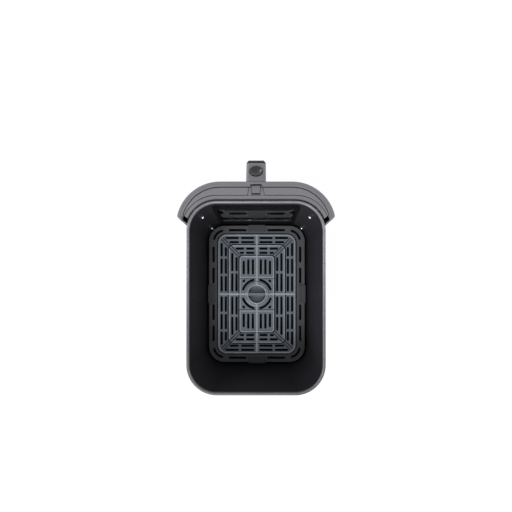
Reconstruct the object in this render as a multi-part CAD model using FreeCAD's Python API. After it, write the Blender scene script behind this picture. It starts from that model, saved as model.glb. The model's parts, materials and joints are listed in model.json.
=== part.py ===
import FreeCAD, Part
import math
import os
from FreeCAD import Vector as V

# Drawer of an air fryer: deep pan with a viewing window, grey front shell with a
# top-mounted handle, push-button release with a spring latch, and a lift-out crisper plate.
# Sizes in millimetres, angles in degrees.
# Working axes: pan centred on X = Y = 0, front is -Y, up is +Z, pan base at Z = 0.

# Pan
RIM_HALF_WIDTH = 112.0
RIM_HALF_LENGTH = 156.5
RIM_CORNER = 49.0
RIM_TOP = 120.0
BEAD = 4.6
BEAD_TUCK = 0.25
SHEET = 1.2
SIDE_DRAFT = 4.5
END_DRAFT = 6.5
BASE_ROUND = 12.0
BASE_PANEL_HALF_WIDTH = 60.0
BASE_PANEL_HALF_LENGTH = 96.0
BASE_PANEL_CORNER = 18.0
BASE_PANEL_RISE = 1.6

# Viewing window in the pan's front wall
WINDOW_OVERRUN = 4.5
WINDOW_LOW = 26.7
WINDOW_RIM_GAP = 26.2
WINDOW_CORNER = 5.0
GLASS_THICK = 4.0
GLASS_LAP = 6.0
GLASS_LAP_UP = 4.3
GASKET_THICK = 1.2
BEZEL_THICK = 1.4
BEZEL_BORDER = 6.5
RETAINER_THICK = 1.5
STUD_RADIUS = 1.5
STUD_INSET = 17.5
STUD_ABOVE = 11.0
STUD_BELOW = 8.5
STUD_EDGE = 3.5
NUT_RADIUS = 3.1
NUT_THICK = 2.4

# Front shell, the covers in its top and the carrier behind it
SHELL_SIDE = 16.0
FRONT_DEPTH = 29.6
FRONT_RADIUS = 70.7
SHELL_WALL = 2.6
SHELL_BOTTOM = 6.0
SHELL_RISE = 3.0
LIP = 8.6
LIP_STEP = 4.6
END_BACK = 40.0
END_SLOPE = 42.3
COVER_DROP = 1.2
COVER_THICK = 2.8
STRIP_DROP = 1.6
STRIP_REACH = 7.0
LEDGE_THICK = 2.8
CARRIER_WALL = 2.6
CARRIER_LOW = 9.0
SEAM = 1.1
HOUSE_REAR_GAP = 0.3
RIM_GAP = 2.2
LOWER_COVER_THICK = 2.5

# Outer window
OUTER_MARGIN = 5.3
OUTER_LAP = 5.0
OUTER_LOW = 27.0
OUTER_SHELF_GAP = 6.0
OUTER_CORNER = 9.0
PANE_THICK = 3.0
PANE_SEAL = 0.8

# Handle
HANDLE_WIDTH = 32.0
HANDLE_WALL = 2.8
HANDLE_SLOPE = 22.5
HANDLE_REACH = 53.4
HANDLE_LOW = 33.5
HANDLE_DROP = 1.0
GRIP_DEPTH = 16.0
ROOT_WALL = 4.8
EDGE_BEVEL = 3.4

# Release button
BUTTON_OUT = 19.2
BUTTON_RADIUS = 10.7
BUTTON_GAP = 0.6
BUTTON_PROUD = 1.4
BUTTON_TRAVEL = 3.6
FLANGE_RADIUS = 11.9
FLANGE_THICK = 1.4
STEM_RADIUS = 2.5
STEM_TIP = 13.0
BUTTON_COIL = 5.6
BUTTON_WIRE = 0.7
BUTTON_TURNS = 3
GUIDE_THICK = 1.6

# Latch, its housing and the bracket that carries them
LATCH_HALF_WIDTH = 6.7
LATCH_IN = 7.8
LATCH_DEPTH = 11.1
LATCH_RISE = 2.0
LATCH_HANG = 4.0
LATCH_COIL = 3.6
LATCH_WIRE = 0.8
LATCH_TURNS = 6
LATCH_BORE = 4.6
LATCH_BORE_DEPTH = 8.9
FOOT_THICK = 2.4
FOOT_PLAY = 0.15
FOOT_HALF_WIDTH = 5.5
SHELF_DROP = 35.0
BRACKET_THICK = 1.5
BRACKET_HALF_WIDTH = 20.0
HOUSE_HANG = 14.0
HOUSE_WALL = 1.95
HOUSE_HALF_FRONT = 10.3
HOUSE_HALF_BACK = 13.3

# Crisper plate and its bumpers
PLATE_SIDE_GAP = 4.85
PLATE_END_GAP = 5.55
PLATE_CORNER = 30.6
PLATE_FLANGE_TOP = 18.5
PLATE_THICK = 3.0
FLANGE_WIDTH = 18.4
FLANGE_LENGTH = 17.7
CENTRE_HALF_WIDTH = 34.2
TERRACE = 1.5
TERRACE_CORNERS = (17.0, 10.0, 6.5)
PANEL_DEPTH = 0.8
RIB = 3.0
SPINE = 5.0
CROSS_RIB = 33.0
SLOT = 4.6
SLOT_INSET = 6.9
SLOT_PITCH = 8.3
SLOT_BRIDGE = 3.8
CENTRE_INSET = 8.4
GRIP_RADIUS = 24.0
GRIP_RECESS = 17.0
GRIP_BAR = 6.0
GRIP_DEEP = 11.5
CUP_WALL = 2.2
BUMPER_REACH = 1.7
BUMPER_INSET = 7.5
BUMPER_END_HALF = 17.0
BUMPER_SIDE_HALF = 18.0

# Screws: head radius, head height, shank radius, shank length, crown
PAN_SCREW = (2.8, 3.2, 2.0, 11.0, 1.2)
CARRIER_SCREW = (3.0, 2.0, 1.7, 13.0, 0.6)
LOWER_SCREW = (2.8, 1.6, 1.4, 9.0, 0.6)
GRIP_SCREW = (2.7, 1.6, 1.35, 10.5, 0.6)
FIX_SCREW = (2.7, 2.0, 1.7, 8.2, 0.6)
GUIDE_SCREW = (1.6, 0.9, 0.8, 5.0, 0.3)
LATCH_SCREW = (2.8, 1.8, 1.45, 8.0, 0.6)
THREAD_FIT = 0.1
HOLE_FIT = 0.2
SLIDE_FIT = 0.25

# Places that follow from the sizes above
BEAD_MID = RIM_TOP - BEAD / 2.0
SHELL_TOP = RIM_TOP + SHELL_RISE
COVER_TOP = SHELL_TOP - COVER_DROP
STRIP_TOP = SHELL_TOP - STRIP_DROP
SEAT = COVER_TOP - COVER_THICK
LEDGE = SEAT - LEDGE_THICK
SHELF_Z = SHELL_TOP - SHELF_DROP
FRONT_Y = -(RIM_HALF_LENGTH + FRONT_DEPTH)
FRONT_MID_Y = FRONT_Y + FRONT_RADIUS
FRONT_FLAT = RIM_HALF_WIDTH + SHELL_SIDE - FRONT_RADIUS
END_Y = END_BACK - RIM_HALF_LENGTH
REAR_CUT_Y = END_Y / 3.0
HANDLE_TIP_Y = FRONT_Y - HANDLE_REACH
BUTTON_Y = FRONT_Y - BUTTON_OUT
LATCH_FRONT = FRONT_Y + LATCH_IN
LATCH_BACK = LATCH_FRONT + LATCH_DEPTH
LATCH_MID = (LATCH_FRONT + LATCH_BACK) / 2.0
LATCH_TOP = SHELL_TOP + LATCH_RISE
LATCH_LOW = SHELF_Z - LATCH_HANG
WINDOW_HALF_WIDTH = RIM_HALF_WIDTH - RIM_CORNER + WINDOW_OVERRUN
WINDOW_MID = (WINDOW_LOW + RIM_TOP - WINDOW_RIM_GAP) / 2.0
WINDOW_HALF_HEIGHT = (RIM_TOP - WINDOW_RIM_GAP - WINDOW_LOW) / 2.0 / math.cos(math.radians(END_DRAFT))
OUTER_HALF_WIDTH = FRONT_FLAT - OUTER_MARGIN
OUTER_HIGH = SHELF_Z - OUTER_SHELF_GAP
FAR = 400.0
SHIFT = V(0, -(HANDLE_TIP_Y + RIM_HALF_LENGTH) / 2.0, 0)
os.makedirs("parts", exist_ok=True)


def keep(name, shape):
    """Write one node, moved so that the whole drawer is centred over its box."""
    solids = [s.copy() for s in shape.Solids]
    shape = solids[0] if len(solids) == 1 else Part.makeCompound(solids)
    shape.translate(SHIFT)
    shape.exportStep("parts/" + name + ".step")
    box = shape.optimalBoundingBox(False)
    print("%-20s solids %d valid %s vol %9.1f  x %.1f..%.1f y %.1f..%.1f z %.1f..%.1f" % (
        name, len(solids), shape.isValid(), shape.Volume, box.XMin, box.XMax, box.YMin, box.YMax,
        box.ZMin, box.ZMax))


def line(a, b):
    return Part.LineSegment(a, b).toShape()


def arc(a, b, c):
    return Part.Arc(a, b, c).toShape()


def rounded_rect(hx, hy, r, z, cx=0.0, cy=0.0):
    """Rectangle with round corners, from its half sizes and centre."""
    k = r * (1.0 - math.sqrt(0.5))
    corners = []
    for sx, sy, turn in ((1, 1, 0), (-1, 1, 1), (-1, -1, 0), (1, -1, 1)):
        a = V(cx + sx * hx, cy + sy * (hy - r), z)
        m = V(cx + sx * (hx - k), cy + sy * (hy - k), z)
        b = V(cx + sx * (hx - r), cy + sy * hy, z)
        corners.append(arc(a, m, b) if turn == 0 else arc(b, m, a))
    loop = []
    for i, e in enumerate(corners):
        following = corners[(i + 1) % 4]
        loop.append(e)
        loop.append(line(e.valueAt(e.LastParameter), following.valueAt(following.FirstParameter)))
    return Part.Wire(loop)


def slab(wire, height):
    return Part.Face(wire).extrude(V(0, 0, height))


def rect_slab(hx, hy, r, z0, z1, cx=0.0, cy=0.0):
    return slab(rounded_rect(hx, hy, r, z0, cx, cy), z1 - z0)


def block(x0, x1, y0, y1, z0, z1):
    return Part.makeBox(x1 - x0, y1 - y0, z1 - z0, V(x0, y0, z0))


def bar(half_width, y0, y1, z0, z1):
    return block(-half_width, half_width, y0, y1, z0, z1)


def rod(r, a, b):
    return Part.makeCylinder(r, b.sub(a).Length, a, b.sub(a))


def mirrored(shape):
    return shape.mirror(V(0, 0, 0), V(1, 0, 0))


def largest(shape):
    return sorted(shape.Solids, key=lambda s: s.Volume)[-1]


def rounded_poly(points, radii):
    """Closed outline of straight runs, with an arc at each corner that has a radius."""
    ends = []
    count = len(points)
    for i in range(count):
        p, a, b = points[i], points[i - 1], points[(i + 1) % count]
        r = radii[i]
        if r <= 0:
            ends.append((p, p, p))
            continue
        u = a.sub(p).normalize()
        w = b.sub(p).normalize()
        half = u.getAngle(w) / 2.0
        reach = r / math.tan(half)
        mid = u.add(w).normalize()
        ends.append((p.add(u * reach), p.add(mid * (r / math.sin(half) - r)), p.add(w * reach)))
    edges = []
    for i in range(count):
        s, m, e = ends[i]
        if radii[i] > 0:
            edges.append(arc(s, m, e))
        edges.append(line(e, ends[(i + 1) % count][0]))
    return Part.Wire(edges)


def fillet_where(shape, radius, test):
    return shape.makeFillet(radius, [e for e in shape.Edges if test(e)])


def screw(head_r, head_h, shank_r, length, crown):
    """Pan-head screw with a cross recess: head on +Z, seat at Z = 0."""
    head = Part.makeCylinder(head_r, head_h)
    head = fillet_where(head, min(crown, head_h * 0.6), lambda e: e.BoundBox.ZMin > head_h - 0.01)
    body = head.fuse(Part.makeCylinder(shank_r, length + 0.5, V(0, 0, -length))).removeSplitter()
    half = head_r * 0.18
    reach = head_r * 0.55
    floor = head_h * 0.45
    return body.cut([block(-reach, reach, -half, half, floor, head_h + 1),
                     block(-half, half, -reach, reach, floor, head_h + 1)])


def placed(shape, pos, axis):
    s = shape.copy()
    s.Placement = FreeCAD.Placement(pos, FreeCAD.Rotation(V(0, 0, 1), axis))
    return s


def biarc(p0, t0, p1, t1):
    """Two tangent arcs from p0, heading t0, to p1, heading t1."""
    v = p1.sub(p0)
    q = 2.0 * (1.0 - t0.dot(t1))
    vt = v.dot(t0.add(t1))
    d = (-vt + math.sqrt(vt * vt + q * v.dot(v))) / q
    a = p0.add(t0 * d)
    b = p1.sub(t1 * d)
    joint = a.add(b) * 0.5
    out = []
    for s, c, e in ((p0, a, joint), (joint, b, p1)):
        m = s.add(e) * 0.5
        h = e.sub(s).Length / 2.0
        rise = c.sub(m)
        sag = h * math.tan(math.atan(rise.Length / h) / 2.0)
        out.append(arc(s, m.add(rise.normalize() * sag), e))
    return out


def coil(name, radius, wire, length, turns):
    """Compression spring standing on Z = 0, one unbroken round wire."""
    span = length - wire
    steps = turns * 4
    pitch = span / turns
    print("%-20s gap between turns %.2f" % (name, pitch - wire))

    def at(i):
        ang = math.pi / 2.0 * i
        p = V(radius * math.cos(ang), radius * math.sin(ang), wire / 2.0 + span * i / steps)
        t = V(-radius * math.sin(ang), radius * math.cos(ang), pitch / (2.0 * math.pi))
        return p, t.normalize()

    path = []
    for i in range(steps):
        path.extend(biarc(*at(i), *at(i + 1)))
    start, heading = at(0)
    ring = Part.Wire([Part.Circle(start, heading, wire / 2.0).toShape()])
    return Part.Wire(path).makePipeShell([ring], True, False)


def pan_dims(z, grow=0.0):
    """Half width, half length and corner radius of the pan's inner face at a height."""
    drop = BEAD_MID - z
    dx = drop * math.tan(math.radians(SIDE_DRAFT))
    dy = drop * math.tan(math.radians(END_DRAFT))
    start = BEAD_TUCK - BEAD + grow
    return RIM_HALF_WIDTH + start - dx, RIM_HALF_LENGTH + start - dy, RIM_CORNER + start - dx


def pan_solid(grow, z0, z1, base_round):
    low = rounded_rect(*pan_dims(z0, grow), z0)
    high = rounded_rect(*pan_dims(z1, grow), z1)
    body = Part.makeLoft([low, high], True, True)
    if base_round > 0:
        body = fillet_where(body, base_round, lambda e: e.BoundBox.ZMax < z0 + 0.01)
    return body


def rim_region(g, z0, z1):
    return rect_slab(RIM_HALF_WIDTH + g, RIM_HALF_LENGTH + g, RIM_CORNER + g, z0, z1)


def front_region(d, z0, z1):
    """The front shell's outline in plan, drawn in by d."""
    r = FRONT_RADIUS - d
    k = r * math.sqrt(0.5)
    f = FRONT_FLAT
    y = FRONT_MID_Y
    edges = [line(V(-f - r, REAR_CUT_Y, z0), V(-f - r, y, z0)),
             arc(V(-f - r, y, z0), V(-f - k, y - k, z0), V(-f, y - r, z0)),
             line(V(-f, y - r, z0), V(f, y - r, z0)),
             arc(V(f, y - r, z0), V(f + k, y - k, z0), V(f + r, y, z0)),
             line(V(f + r, y, z0), V(f + r, REAR_CUT_Y, z0)),
             line(V(f + r, REAR_CUT_Y, z0), V(-f - r, REAR_CUT_Y, z0))]
    return slab(Part.Wire(edges), z1 - z0)


def end_tools(k, z0, z1):
    """Cutters behind the shell's two slanted ends, moved forward by k."""
    a = math.radians(END_SLOPE)
    d = V(-math.cos(a), math.sin(a), 0)
    n = V(math.sin(a), math.cos(a), 0)
    p = V(RIM_HALF_WIDTH, END_Y, z0).sub(n * k)
    near = p.sub(d * RIM_HALF_WIDTH)
    far = p.add(d * RIM_HALF_WIDTH * 1.8)
    depth = n * RIM_HALF_WIDTH * 1.8
    right = slab(Part.makePolygon([near, far, far.add(depth), near.add(depth), near]), z1 - z0)
    return [right, mirrored(right)]


def wing(d, k, z0, z1):
    return front_region(d, z0, z1).cut(end_tools(k, z0 - 1, z1 + 1))


def upright(half_w, low, high, r, y0, y1):
    """Rounded slab standing in the XZ plane between two Y places."""
    s = slab(rounded_rect(half_w, (high - low) / 2.0, r, 0.0, 0.0, (high + low) / 2.0), y1 - y0)
    s.rotate(V(0, 0, 0), V(1, 0, 0), 90)
    s.translate(V(0, y1, 0))
    return s


def on_window(shape):
    """Lay a shape drawn about the window's centre onto the sloping front wall."""
    s = shape.copy()
    s.rotate(V(0, 0, 0), V(1, 0, 0), END_DRAFT)
    s.translate(V(0, -pan_dims(WINDOW_MID)[1], WINDOW_MID))
    return s


def window_slab(grow, grow_up, r, y0, y1):
    high = WINDOW_HALF_HEIGHT + grow_up
    return upright(WINDOW_HALF_WIDTH + grow, -high, high, r, y0, y1)


# Pan
pan_outer = pan_solid(SHEET, 0.0, BEAD_MID, BASE_ROUND)
pan_inner = pan_solid(0.0, SHEET, BEAD_MID + BEAD, BASE_ROUND - SHEET)
bead_path = rounded_rect(RIM_HALF_WIDTH - BEAD / 2, RIM_HALF_LENGTH - BEAD / 2, RIM_CORNER - BEAD / 2,
                         BEAD_MID)
bead_circle = Part.Circle(V(RIM_HALF_WIDTH - BEAD / 2, 0, BEAD_MID), V(0, 1, 0), BEAD / 2)
bead = bead_path.makePipeShell([Part.Wire([bead_circle.toShape()])], True, True)
panel_in = rect_slab(BASE_PANEL_HALF_WIDTH, BASE_PANEL_HALF_LENGTH, BASE_PANEL_CORNER, -1,
                     BASE_PANEL_RISE)
panel_pad = rect_slab(BASE_PANEL_HALF_WIDTH + SHEET, BASE_PANEL_HALF_LENGTH + SHEET,
                      BASE_PANEL_CORNER + SHEET, SHEET / 2.0, SHEET + BASE_PANEL_RISE)
pan_blank = pan_outer.cut(pan_inner).fuse(bead).fuse(panel_pad).cut(panel_in)
STUD_HIGH = WINDOW_HALF_HEIGHT + STUD_ABOVE
STUD_DEEP = -WINDOW_HALF_HEIGHT - STUD_BELOW
STUD_X = WINDOW_HALF_WIDTH - STUD_INSET
studs_at = [V(sx * STUD_X, 0, z) for z in (STUD_HIGH, STUD_DEEP) for sx in (-1, 1)]


def stud_rods(radius, y0, y1):
    return [rod(radius, p.add(V(0, y1, 0)), p.add(V(0, y0, 0))) for p in studs_at]


pan = pan_blank.cut(on_window(window_slab(1.0, 1.0, WINDOW_CORNER + 1.0, -6.0, 4.0)))
pan = pan.cut([on_window(r) for r in stud_rods(STUD_RADIUS + HOLE_FIT, -5.0, 4.0)])

# Screws through the pan's front corners into the carrier's bosses
SCREW_BELOW_RIM = 30.0
SCREW_ABOVE_BASE = 22.0
BOSS_RADIUS = 4.5
SEAL_RADIUS = 4.2
screw_levels = (RIM_TOP - SCREW_BELOW_RIM, SCREW_ABOVE_BASE)
pan_screw = screw(*PAN_SCREW)
pan_screws = []
pan_seals = []
pan_bosses = []
boss_bores = []
pan_holes = []
for z in screw_levels:
    hx, hy, r = pan_dims(z)
    for sx in (-1, 1):
        out = V(sx, -1, 0).normalize()
        wall = V(sx * (hx - r), -(hy - r), z).add(out * r)
        seat = wall.sub(out)
        pan_screws.append(placed(pan_screw, seat, out * -1))
        seal = rod(SEAL_RADIUS, seat, wall.add(out * 0.9))
        seal = seal.cut(rod(PAN_SCREW[2] + THREAD_FIT, seat.sub(out), wall.add(out * 3)))
        pan_seals.append(largest(seal.cut(pan_outer.cut(pan_inner)).common(pan_inner)))
        pan_bosses.append(rod(BOSS_RADIUS, wall.sub(out * 2), wall.add(out * 30)))
        boss_bores.append(rod(PAN_SCREW[2] + THREAD_FIT, wall.sub(out * 3), wall.add(out * 10.4)))
        pan_holes.append(rod(PAN_SCREW[2] + HOLE_FIT, wall.sub(out * 4), wall.add(out * 4)))
keep("pan", pan.cut(pan_holes))
keep("pan_screws", Part.makeCompound(pan_screws))
keep("pan_screw_seals", Part.makeCompound(pan_seals))

# Window stack, from the cooking side outwards
gasket_out = -SHEET - GASKET_THICK
glass_out = gasket_out - GLASS_THICK
retainer_out = glass_out - RETAINER_THICK
stud_end = retainer_out - NUT_THICK - 0.5
bezel = upright(WINDOW_HALF_WIDTH + BEZEL_BORDER, STUD_DEEP - STUD_EDGE, STUD_HIGH + STUD_EDGE,
                WINDOW_CORNER, 0.0, BEZEL_THICK)
bezel = bezel.cut(window_slab(0.0, 0.0, WINDOW_CORNER, -1.0, 3.0))
bezel = bezel.fuse(stud_rods(STUD_RADIUS, stud_end, 0.5))
stud_ways = [on_window(r) for r in stud_rods(STUD_RADIUS + 0.7, -5.0, 4.0)]
keep("window_bezel", largest(on_window(bezel).cut(pan_blank.cut(stud_ways))))
inner_edge = window_slab(1.5, 1.5, WINDOW_CORNER, -20.0, 3.0)
gasket = window_slab(GLASS_LAP + 1.0, GLASS_LAP_UP + 0.5, WINDOW_CORNER + 1.0, gasket_out, -SHEET)
keep("window_gasket", on_window(gasket.cut(inner_edge)))
glass = window_slab(GLASS_LAP, GLASS_LAP_UP, WINDOW_CORNER, glass_out, gasket_out)
keep("window_glass", on_window(glass))
retainer = window_slab(GLASS_LAP + 2.0, GLASS_LAP_UP + 1.2, WINDOW_CORNER + 1.0, retainer_out, glass_out)
EAR_HALF = 6.0
EAR_EDGE = 4.5
for p in studs_at:
    reach = WINDOW_HALF_HEIGHT / 2.0 if p.z > 0 else -WINDOW_HALF_HEIGHT / 2.0
    tip = p.z + math.copysign(EAR_EDGE, p.z)
    ear = upright(EAR_HALF, min(reach, tip), max(reach, tip), EAR_HALF / 1.5, retainer_out, glass_out)
    ear.translate(V(p.x, 0, 0))
    retainer = retainer.fuse(ear)
retainer = retainer.cut(inner_edge).cut(stud_rods(STUD_RADIUS + THREAD_FIT, -20.0, 4.0))
keep("window_retainer", on_window(retainer.removeSplitter()))
nuts = []
for p in studs_at:
    corners = [V(p.x + NUT_RADIUS * math.cos(math.radians(60 * i)), retainer_out,
                 p.z + NUT_RADIUS * math.sin(math.radians(60 * i))) for i in range(7)]
    nut = Part.Face(Part.makePolygon(corners)).extrude(V(0, -NUT_THICK, 0))
    nuts.append(on_window(nut.cut(stud_rods(STUD_RADIUS + THREAD_FIT / 2, -20.0, 4.0))))
keep("window_nuts", Part.makeCompound(nuts))

# Carrier frame behind the front shell
carrier = rim_region(RIM_GAP + CARRIER_WALL, CARRIER_LOW, STRIP_TOP - 2.0)
ledge = rim_region(STRIP_REACH + 2.2, LEDGE, SEAT)
strip = rim_region(STRIP_REACH, SEAT - 1.0, STRIP_TOP)
carrier = carrier.fuse([ledge, strip]).cut(rim_region(RIM_GAP, 0.0, RIM_TOP + 10.0))
front_half = block(-FAR / 2, FAR / 2, -FAR, END_Y / 2.0, -5.0, RIM_TOP + 20.0)
carrier = carrier.common(front_half).cut(end_tools(SHELL_WALL + 6.9, 0.0, RIM_TOP + 10.0))
carrier = carrier.cut(bar(WINDOW_HALF_WIDTH + GLASS_LAP + 4.0, FRONT_Y, -RIM_HALF_LENGTH + 16.5,
                          CARRIER_LOW + 3.0, LEDGE - 4.2))
boss_zone = rim_region(RIM_GAP + 1.5, 0.0, RIM_TOP + 10.0)
pan_clear = pan_solid(SHEET + 0.1, -2.0, BEAD_MID, 0)
carrier = carrier.fuse([b.cut(pan_clear).common(boss_zone) for b in pan_bosses]).cut(boss_bores)
CARRIER_SCREW_BELOW_RIM = 10.0
carrier_levels = (RIM_TOP - CARRIER_SCREW_BELOW_RIM, sum(screw_levels) / 2.0)
carrier_screw = screw(*CARRIER_SCREW)
carrier_screws = []
shell_bosses = []
shell_bores = []
for z in carrier_levels:
    for sx in (-1, 1):
        out = V(sx, -1, 0).normalize()
        mid = V(sx * (RIM_HALF_WIDTH - RIM_CORNER), RIM_CORNER - RIM_HALF_LENGTH, z)
        inner = mid.add(out * (RIM_CORNER + RIM_GAP + 0.6))
        face = mid.add(out * (RIM_CORNER + RIM_GAP + CARRIER_WALL))
        carrier = carrier.cut([rod(CARRIER_SCREW[0] + HOLE_FIT, inner.sub(out * 6), inner),
                               rod(CARRIER_SCREW[2] + HOLE_FIT, inner.sub(out * 6), face.add(out * 4))])
        carrier_screws.append(placed(carrier_screw, inner, out * -1))
        shell_bosses.append(rod(4.0, face.add(out * 0.02), face.add(out * 30)))
        shell_bores.append(rod(CARRIER_SCREW[2] + THREAD_FIT, face.sub(out * 2), face.add(out * 12.2)))
carrier = carrier.cut(bar(LATCH_HALF_WIDTH + 2.8, FRONT_Y, LATCH_BACK + 3.9, SHELF_Z + 12.0, FAR))
keep("front_carrier", carrier.removeSplitter())
keep("carrier_screws", Part.makeCompound(carrier_screws))

# Release button axis and the levels that its stem sets
RAKE = math.tan(math.radians(HANDLE_SLOPE))
press = V(0, math.sin(math.radians(HANDLE_SLOPE)), -math.cos(math.radians(HANDLE_SLOPE)))
uphill = V(0, math.cos(math.radians(HANDLE_SLOPE)), math.sin(math.radians(HANDLE_SLOPE)))
HANDLE_TOP = SHELL_TOP - HANDLE_DROP
button_at = V(0, BUTTON_Y, HANDLE_TOP - BUTTON_OUT * RAKE)


def along(s, x=0.0, u=0.0):
    """A point s down the button's axis, u up the handle's slope and x across."""
    return button_at.add(press * s).add(uphill * u).add(V(x, 0, 0))


FOOT_TOP = along(STEM_TIP).z - STEM_RADIUS - FOOT_PLAY
FOOT_END = along(STEM_TIP).y - STEM_RADIUS - 2.2
FOOT_WAY_LOW = FOOT_TOP - FOOT_THICK - BUTTON_TRAVEL - 0.9
FOOT_WAY_HIGH = FOOT_TOP + 2.1
FOOT_WAY_HALF = FOOT_HALF_WIDTH + 1.7
foot_way = bar(FOOT_WAY_HALF, FRONT_Y - ROOT_WALL - 3.2, FRONT_Y + 6.0, FOOT_WAY_LOW, FOOT_WAY_HIGH)

# Front shell
SHELL_END_ROUND = 6.0
SHELL_TOP_ROUND = 2.4
SHELL_LOW_ROUND = 3.0


def upright_end(e):
    b = e.BoundBox
    return b.XLength < 0.01 and b.YLength < 0.01 and abs(b.XMin) > RIM_HALF_WIDTH + 6.0


def outside(e):
    b = e.BoundBox
    return b.YMax < REAR_CUT_Y - 0.5 or (b.YMin < END_Y + 16.0 and b.ZLength < 1.0)


shell = fillet_where(wing(0, 0, SHELL_BOTTOM, SHELL_TOP), SHELL_END_ROUND, upright_end)
shell = fillet_where(shell, SHELL_TOP_ROUND, lambda e: e.BoundBox.ZMin > SHELL_TOP - 0.01 and outside(e))
shell = fillet_where(shell, SHELL_LOW_ROUND, lambda e: e.BoundBox.ZMax < SHELL_BOTTOM + 0.01 and outside(e))
cavity = wing(SHELL_WALL, SHELL_WALL, SHELL_BOTTOM - 1.0, LEDGE + 0.2)
well = wing(LIP + 2.6, 7.0, LEDGE - 0.2, SHELL_TOP + 1.0)
well = well.fuse(rim_region(STRIP_REACH + 2.5, LEDGE - 0.2, SHELL_TOP + 1.0))
mouth = wing(LIP, 5.8, SEAT, SHELL_TOP + 1.0)
step = wing(LIP_STEP, 3.6, SHELL_TOP - 0.6, SHELL_TOP + 1.0)
shell = shell.cut([cavity, well, mouth, step, rim_region(1.3, BEAD_MID - 4.0, SHELL_TOP + 10.0)])
shell = shell.cut(pan_solid(SHEET + 1.2, -2.0, SHELL_TOP + 1.0, 0))
boss_room = wing(SHELL_WALL - 0.8, SHELL_WALL - 0.8, SHELL_BOTTOM + 2.0, LEDGE)
shell = shell.fuse([b.common(boss_room) for b in shell_bosses]).cut(shell_bores)
outer_opening = upright(OUTER_HALF_WIDTH, OUTER_LOW, OUTER_HIGH, OUTER_CORNER, FRONT_Y - 6.0, FRONT_Y + 6.0)
shell = shell.cut(outer_opening)
shell = shell.cut(foot_way)
shell = shell.cut(bar(LATCH_HALF_WIDTH + 2.5, LATCH_FRONT - 3.1, LATCH_FRONT + 8.0, LEDGE - 0.2, FAR))
FIX_X = 12.0
FIX_BELOW_TOP = (9.5, 23.5)
fix_at = [V(sx * FIX_X, FRONT_Y, SHELL_TOP - drop) for drop in FIX_BELOW_TOP for sx in (-1, 1)]
shell = shell.cut([rod(FIX_SCREW[2] + HOLE_FIT, p.sub(V(0, 2, 0)), p.add(V(0, 6, 0))) for p in fix_at])
FOOT_BOSS_RADIUS = 3.6
FOOT_BOSS_X = 38.0
boss_in = SHELL_WALL + FOOT_BOSS_RADIUS - 0.8
corner_reach = (FRONT_RADIUS - boss_in) * math.sqrt(0.5)
foot_bosses = []
for sx in (-1, 1):
    foot_bosses.append(V(sx * FOOT_BOSS_X, FRONT_Y + boss_in, SHELL_BOTTOM))
    foot_bosses.append(V(sx * (FRONT_FLAT + corner_reach), FRONT_MID_Y - corner_reach, SHELL_BOTTOM))
for p in foot_bosses:
    shell = shell.fuse(rod(FOOT_BOSS_RADIUS, p.add(V(0, 0, 2.6)), p.add(V(0, 0, 13.0))).common(boss_room))
shell = shell.cut([rod(LOWER_SCREW[2] + THREAD_FIT, p.sub(V(0, 0, 6)), p.add(V(0, 0, 11.5)))
                   for p in foot_bosses])
keep("front_shell", shell.removeSplitter())

# Closing plate under the front shell
LOWER_FIT = 0.3
lower = wing(SHELL_WALL + LOWER_FIT, SHELL_WALL + LOWER_FIT, SHELL_BOTTOM + 0.1,
             SHELL_BOTTOM + 0.1 + LOWER_COVER_THICK)
hx, hy, r = pan_dims(SHELL_BOTTOM + 4.0, SHEET + 1.6)
lower = lower.cut(rect_slab(hx, hy, r, 0.0, SHELL_BOTTOM + 14.0))
lower = lower.cut(bar(FAR / 2, END_Y + 19.5, FAR / 4, 0.0, SHELL_BOTTOM + 14.0))
lower_screw = screw(*LOWER_SCREW)
lower_screws = []
for p in foot_bosses:
    lower = lower.cut(rod(LOWER_SCREW[2] + HOLE_FIT, p.sub(V(0, 0, 6)), p.add(V(0, 0, 14))))
    lower_screws.append(placed(lower_screw, p.add(V(0, 0, 0.1)), V(0, 0, -1)))
keep("lower_cover", lower)
keep("lower_cover_screws", Part.makeCompound(lower_screws))

# Top covers between the shell's lip and the carrier's strip
HOUSE_BACK = -(RIM_HALF_LENGTH + STRIP_REACH + HOUSE_REAR_GAP)
HOUSE_FRONT = FRONT_Y + LIP + SEAM
COVER_EDGE = 0.5


def housing_top(grow, z0, z1):
    """The latch frame's tapered outline between the two covers."""
    front = HOUSE_HALF_FRONT + grow
    back = HOUSE_HALF_BACK + grow
    points = [V(-front, HOUSE_FRONT, z0), V(front, HOUSE_FRONT, z0), V(back, HOUSE_BACK, z0),
              V(-back, HOUSE_BACK, z0)]
    return slab(Part.makePolygon(points + [points[0]]), z1 - z0)


cover = wing(LIP + SEAM, SHELL_WALL + 6.9, SEAT, COVER_TOP)
cover = cover.cut(rim_region(STRIP_REACH + SEAM, 0.0, COVER_TOP + 10.0))
HOUSE_GAP = 0.8
front_way = bar(HOUSE_HALF_FRONT + HOUSE_GAP, HOUSE_FRONT - 2.0, HOUSE_FRONT + HOUSE_GAP, LEDGE, SHELL_TOP)
cover = cover.cut([housing_top(HOUSE_GAP, LEDGE, SHELL_TOP), front_way])
for name, half in zip(("top_cover_left", "top_cover_right"),
                      sorted(cover.Solids, key=lambda s: s.CenterOfMass.x)):
    top_edges = [e for e in half.Edges if e.BoundBox.ZMin > COVER_TOP - 0.01]
    keep(name, half.makeChamfer(COVER_EDGE, top_edges))

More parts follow.
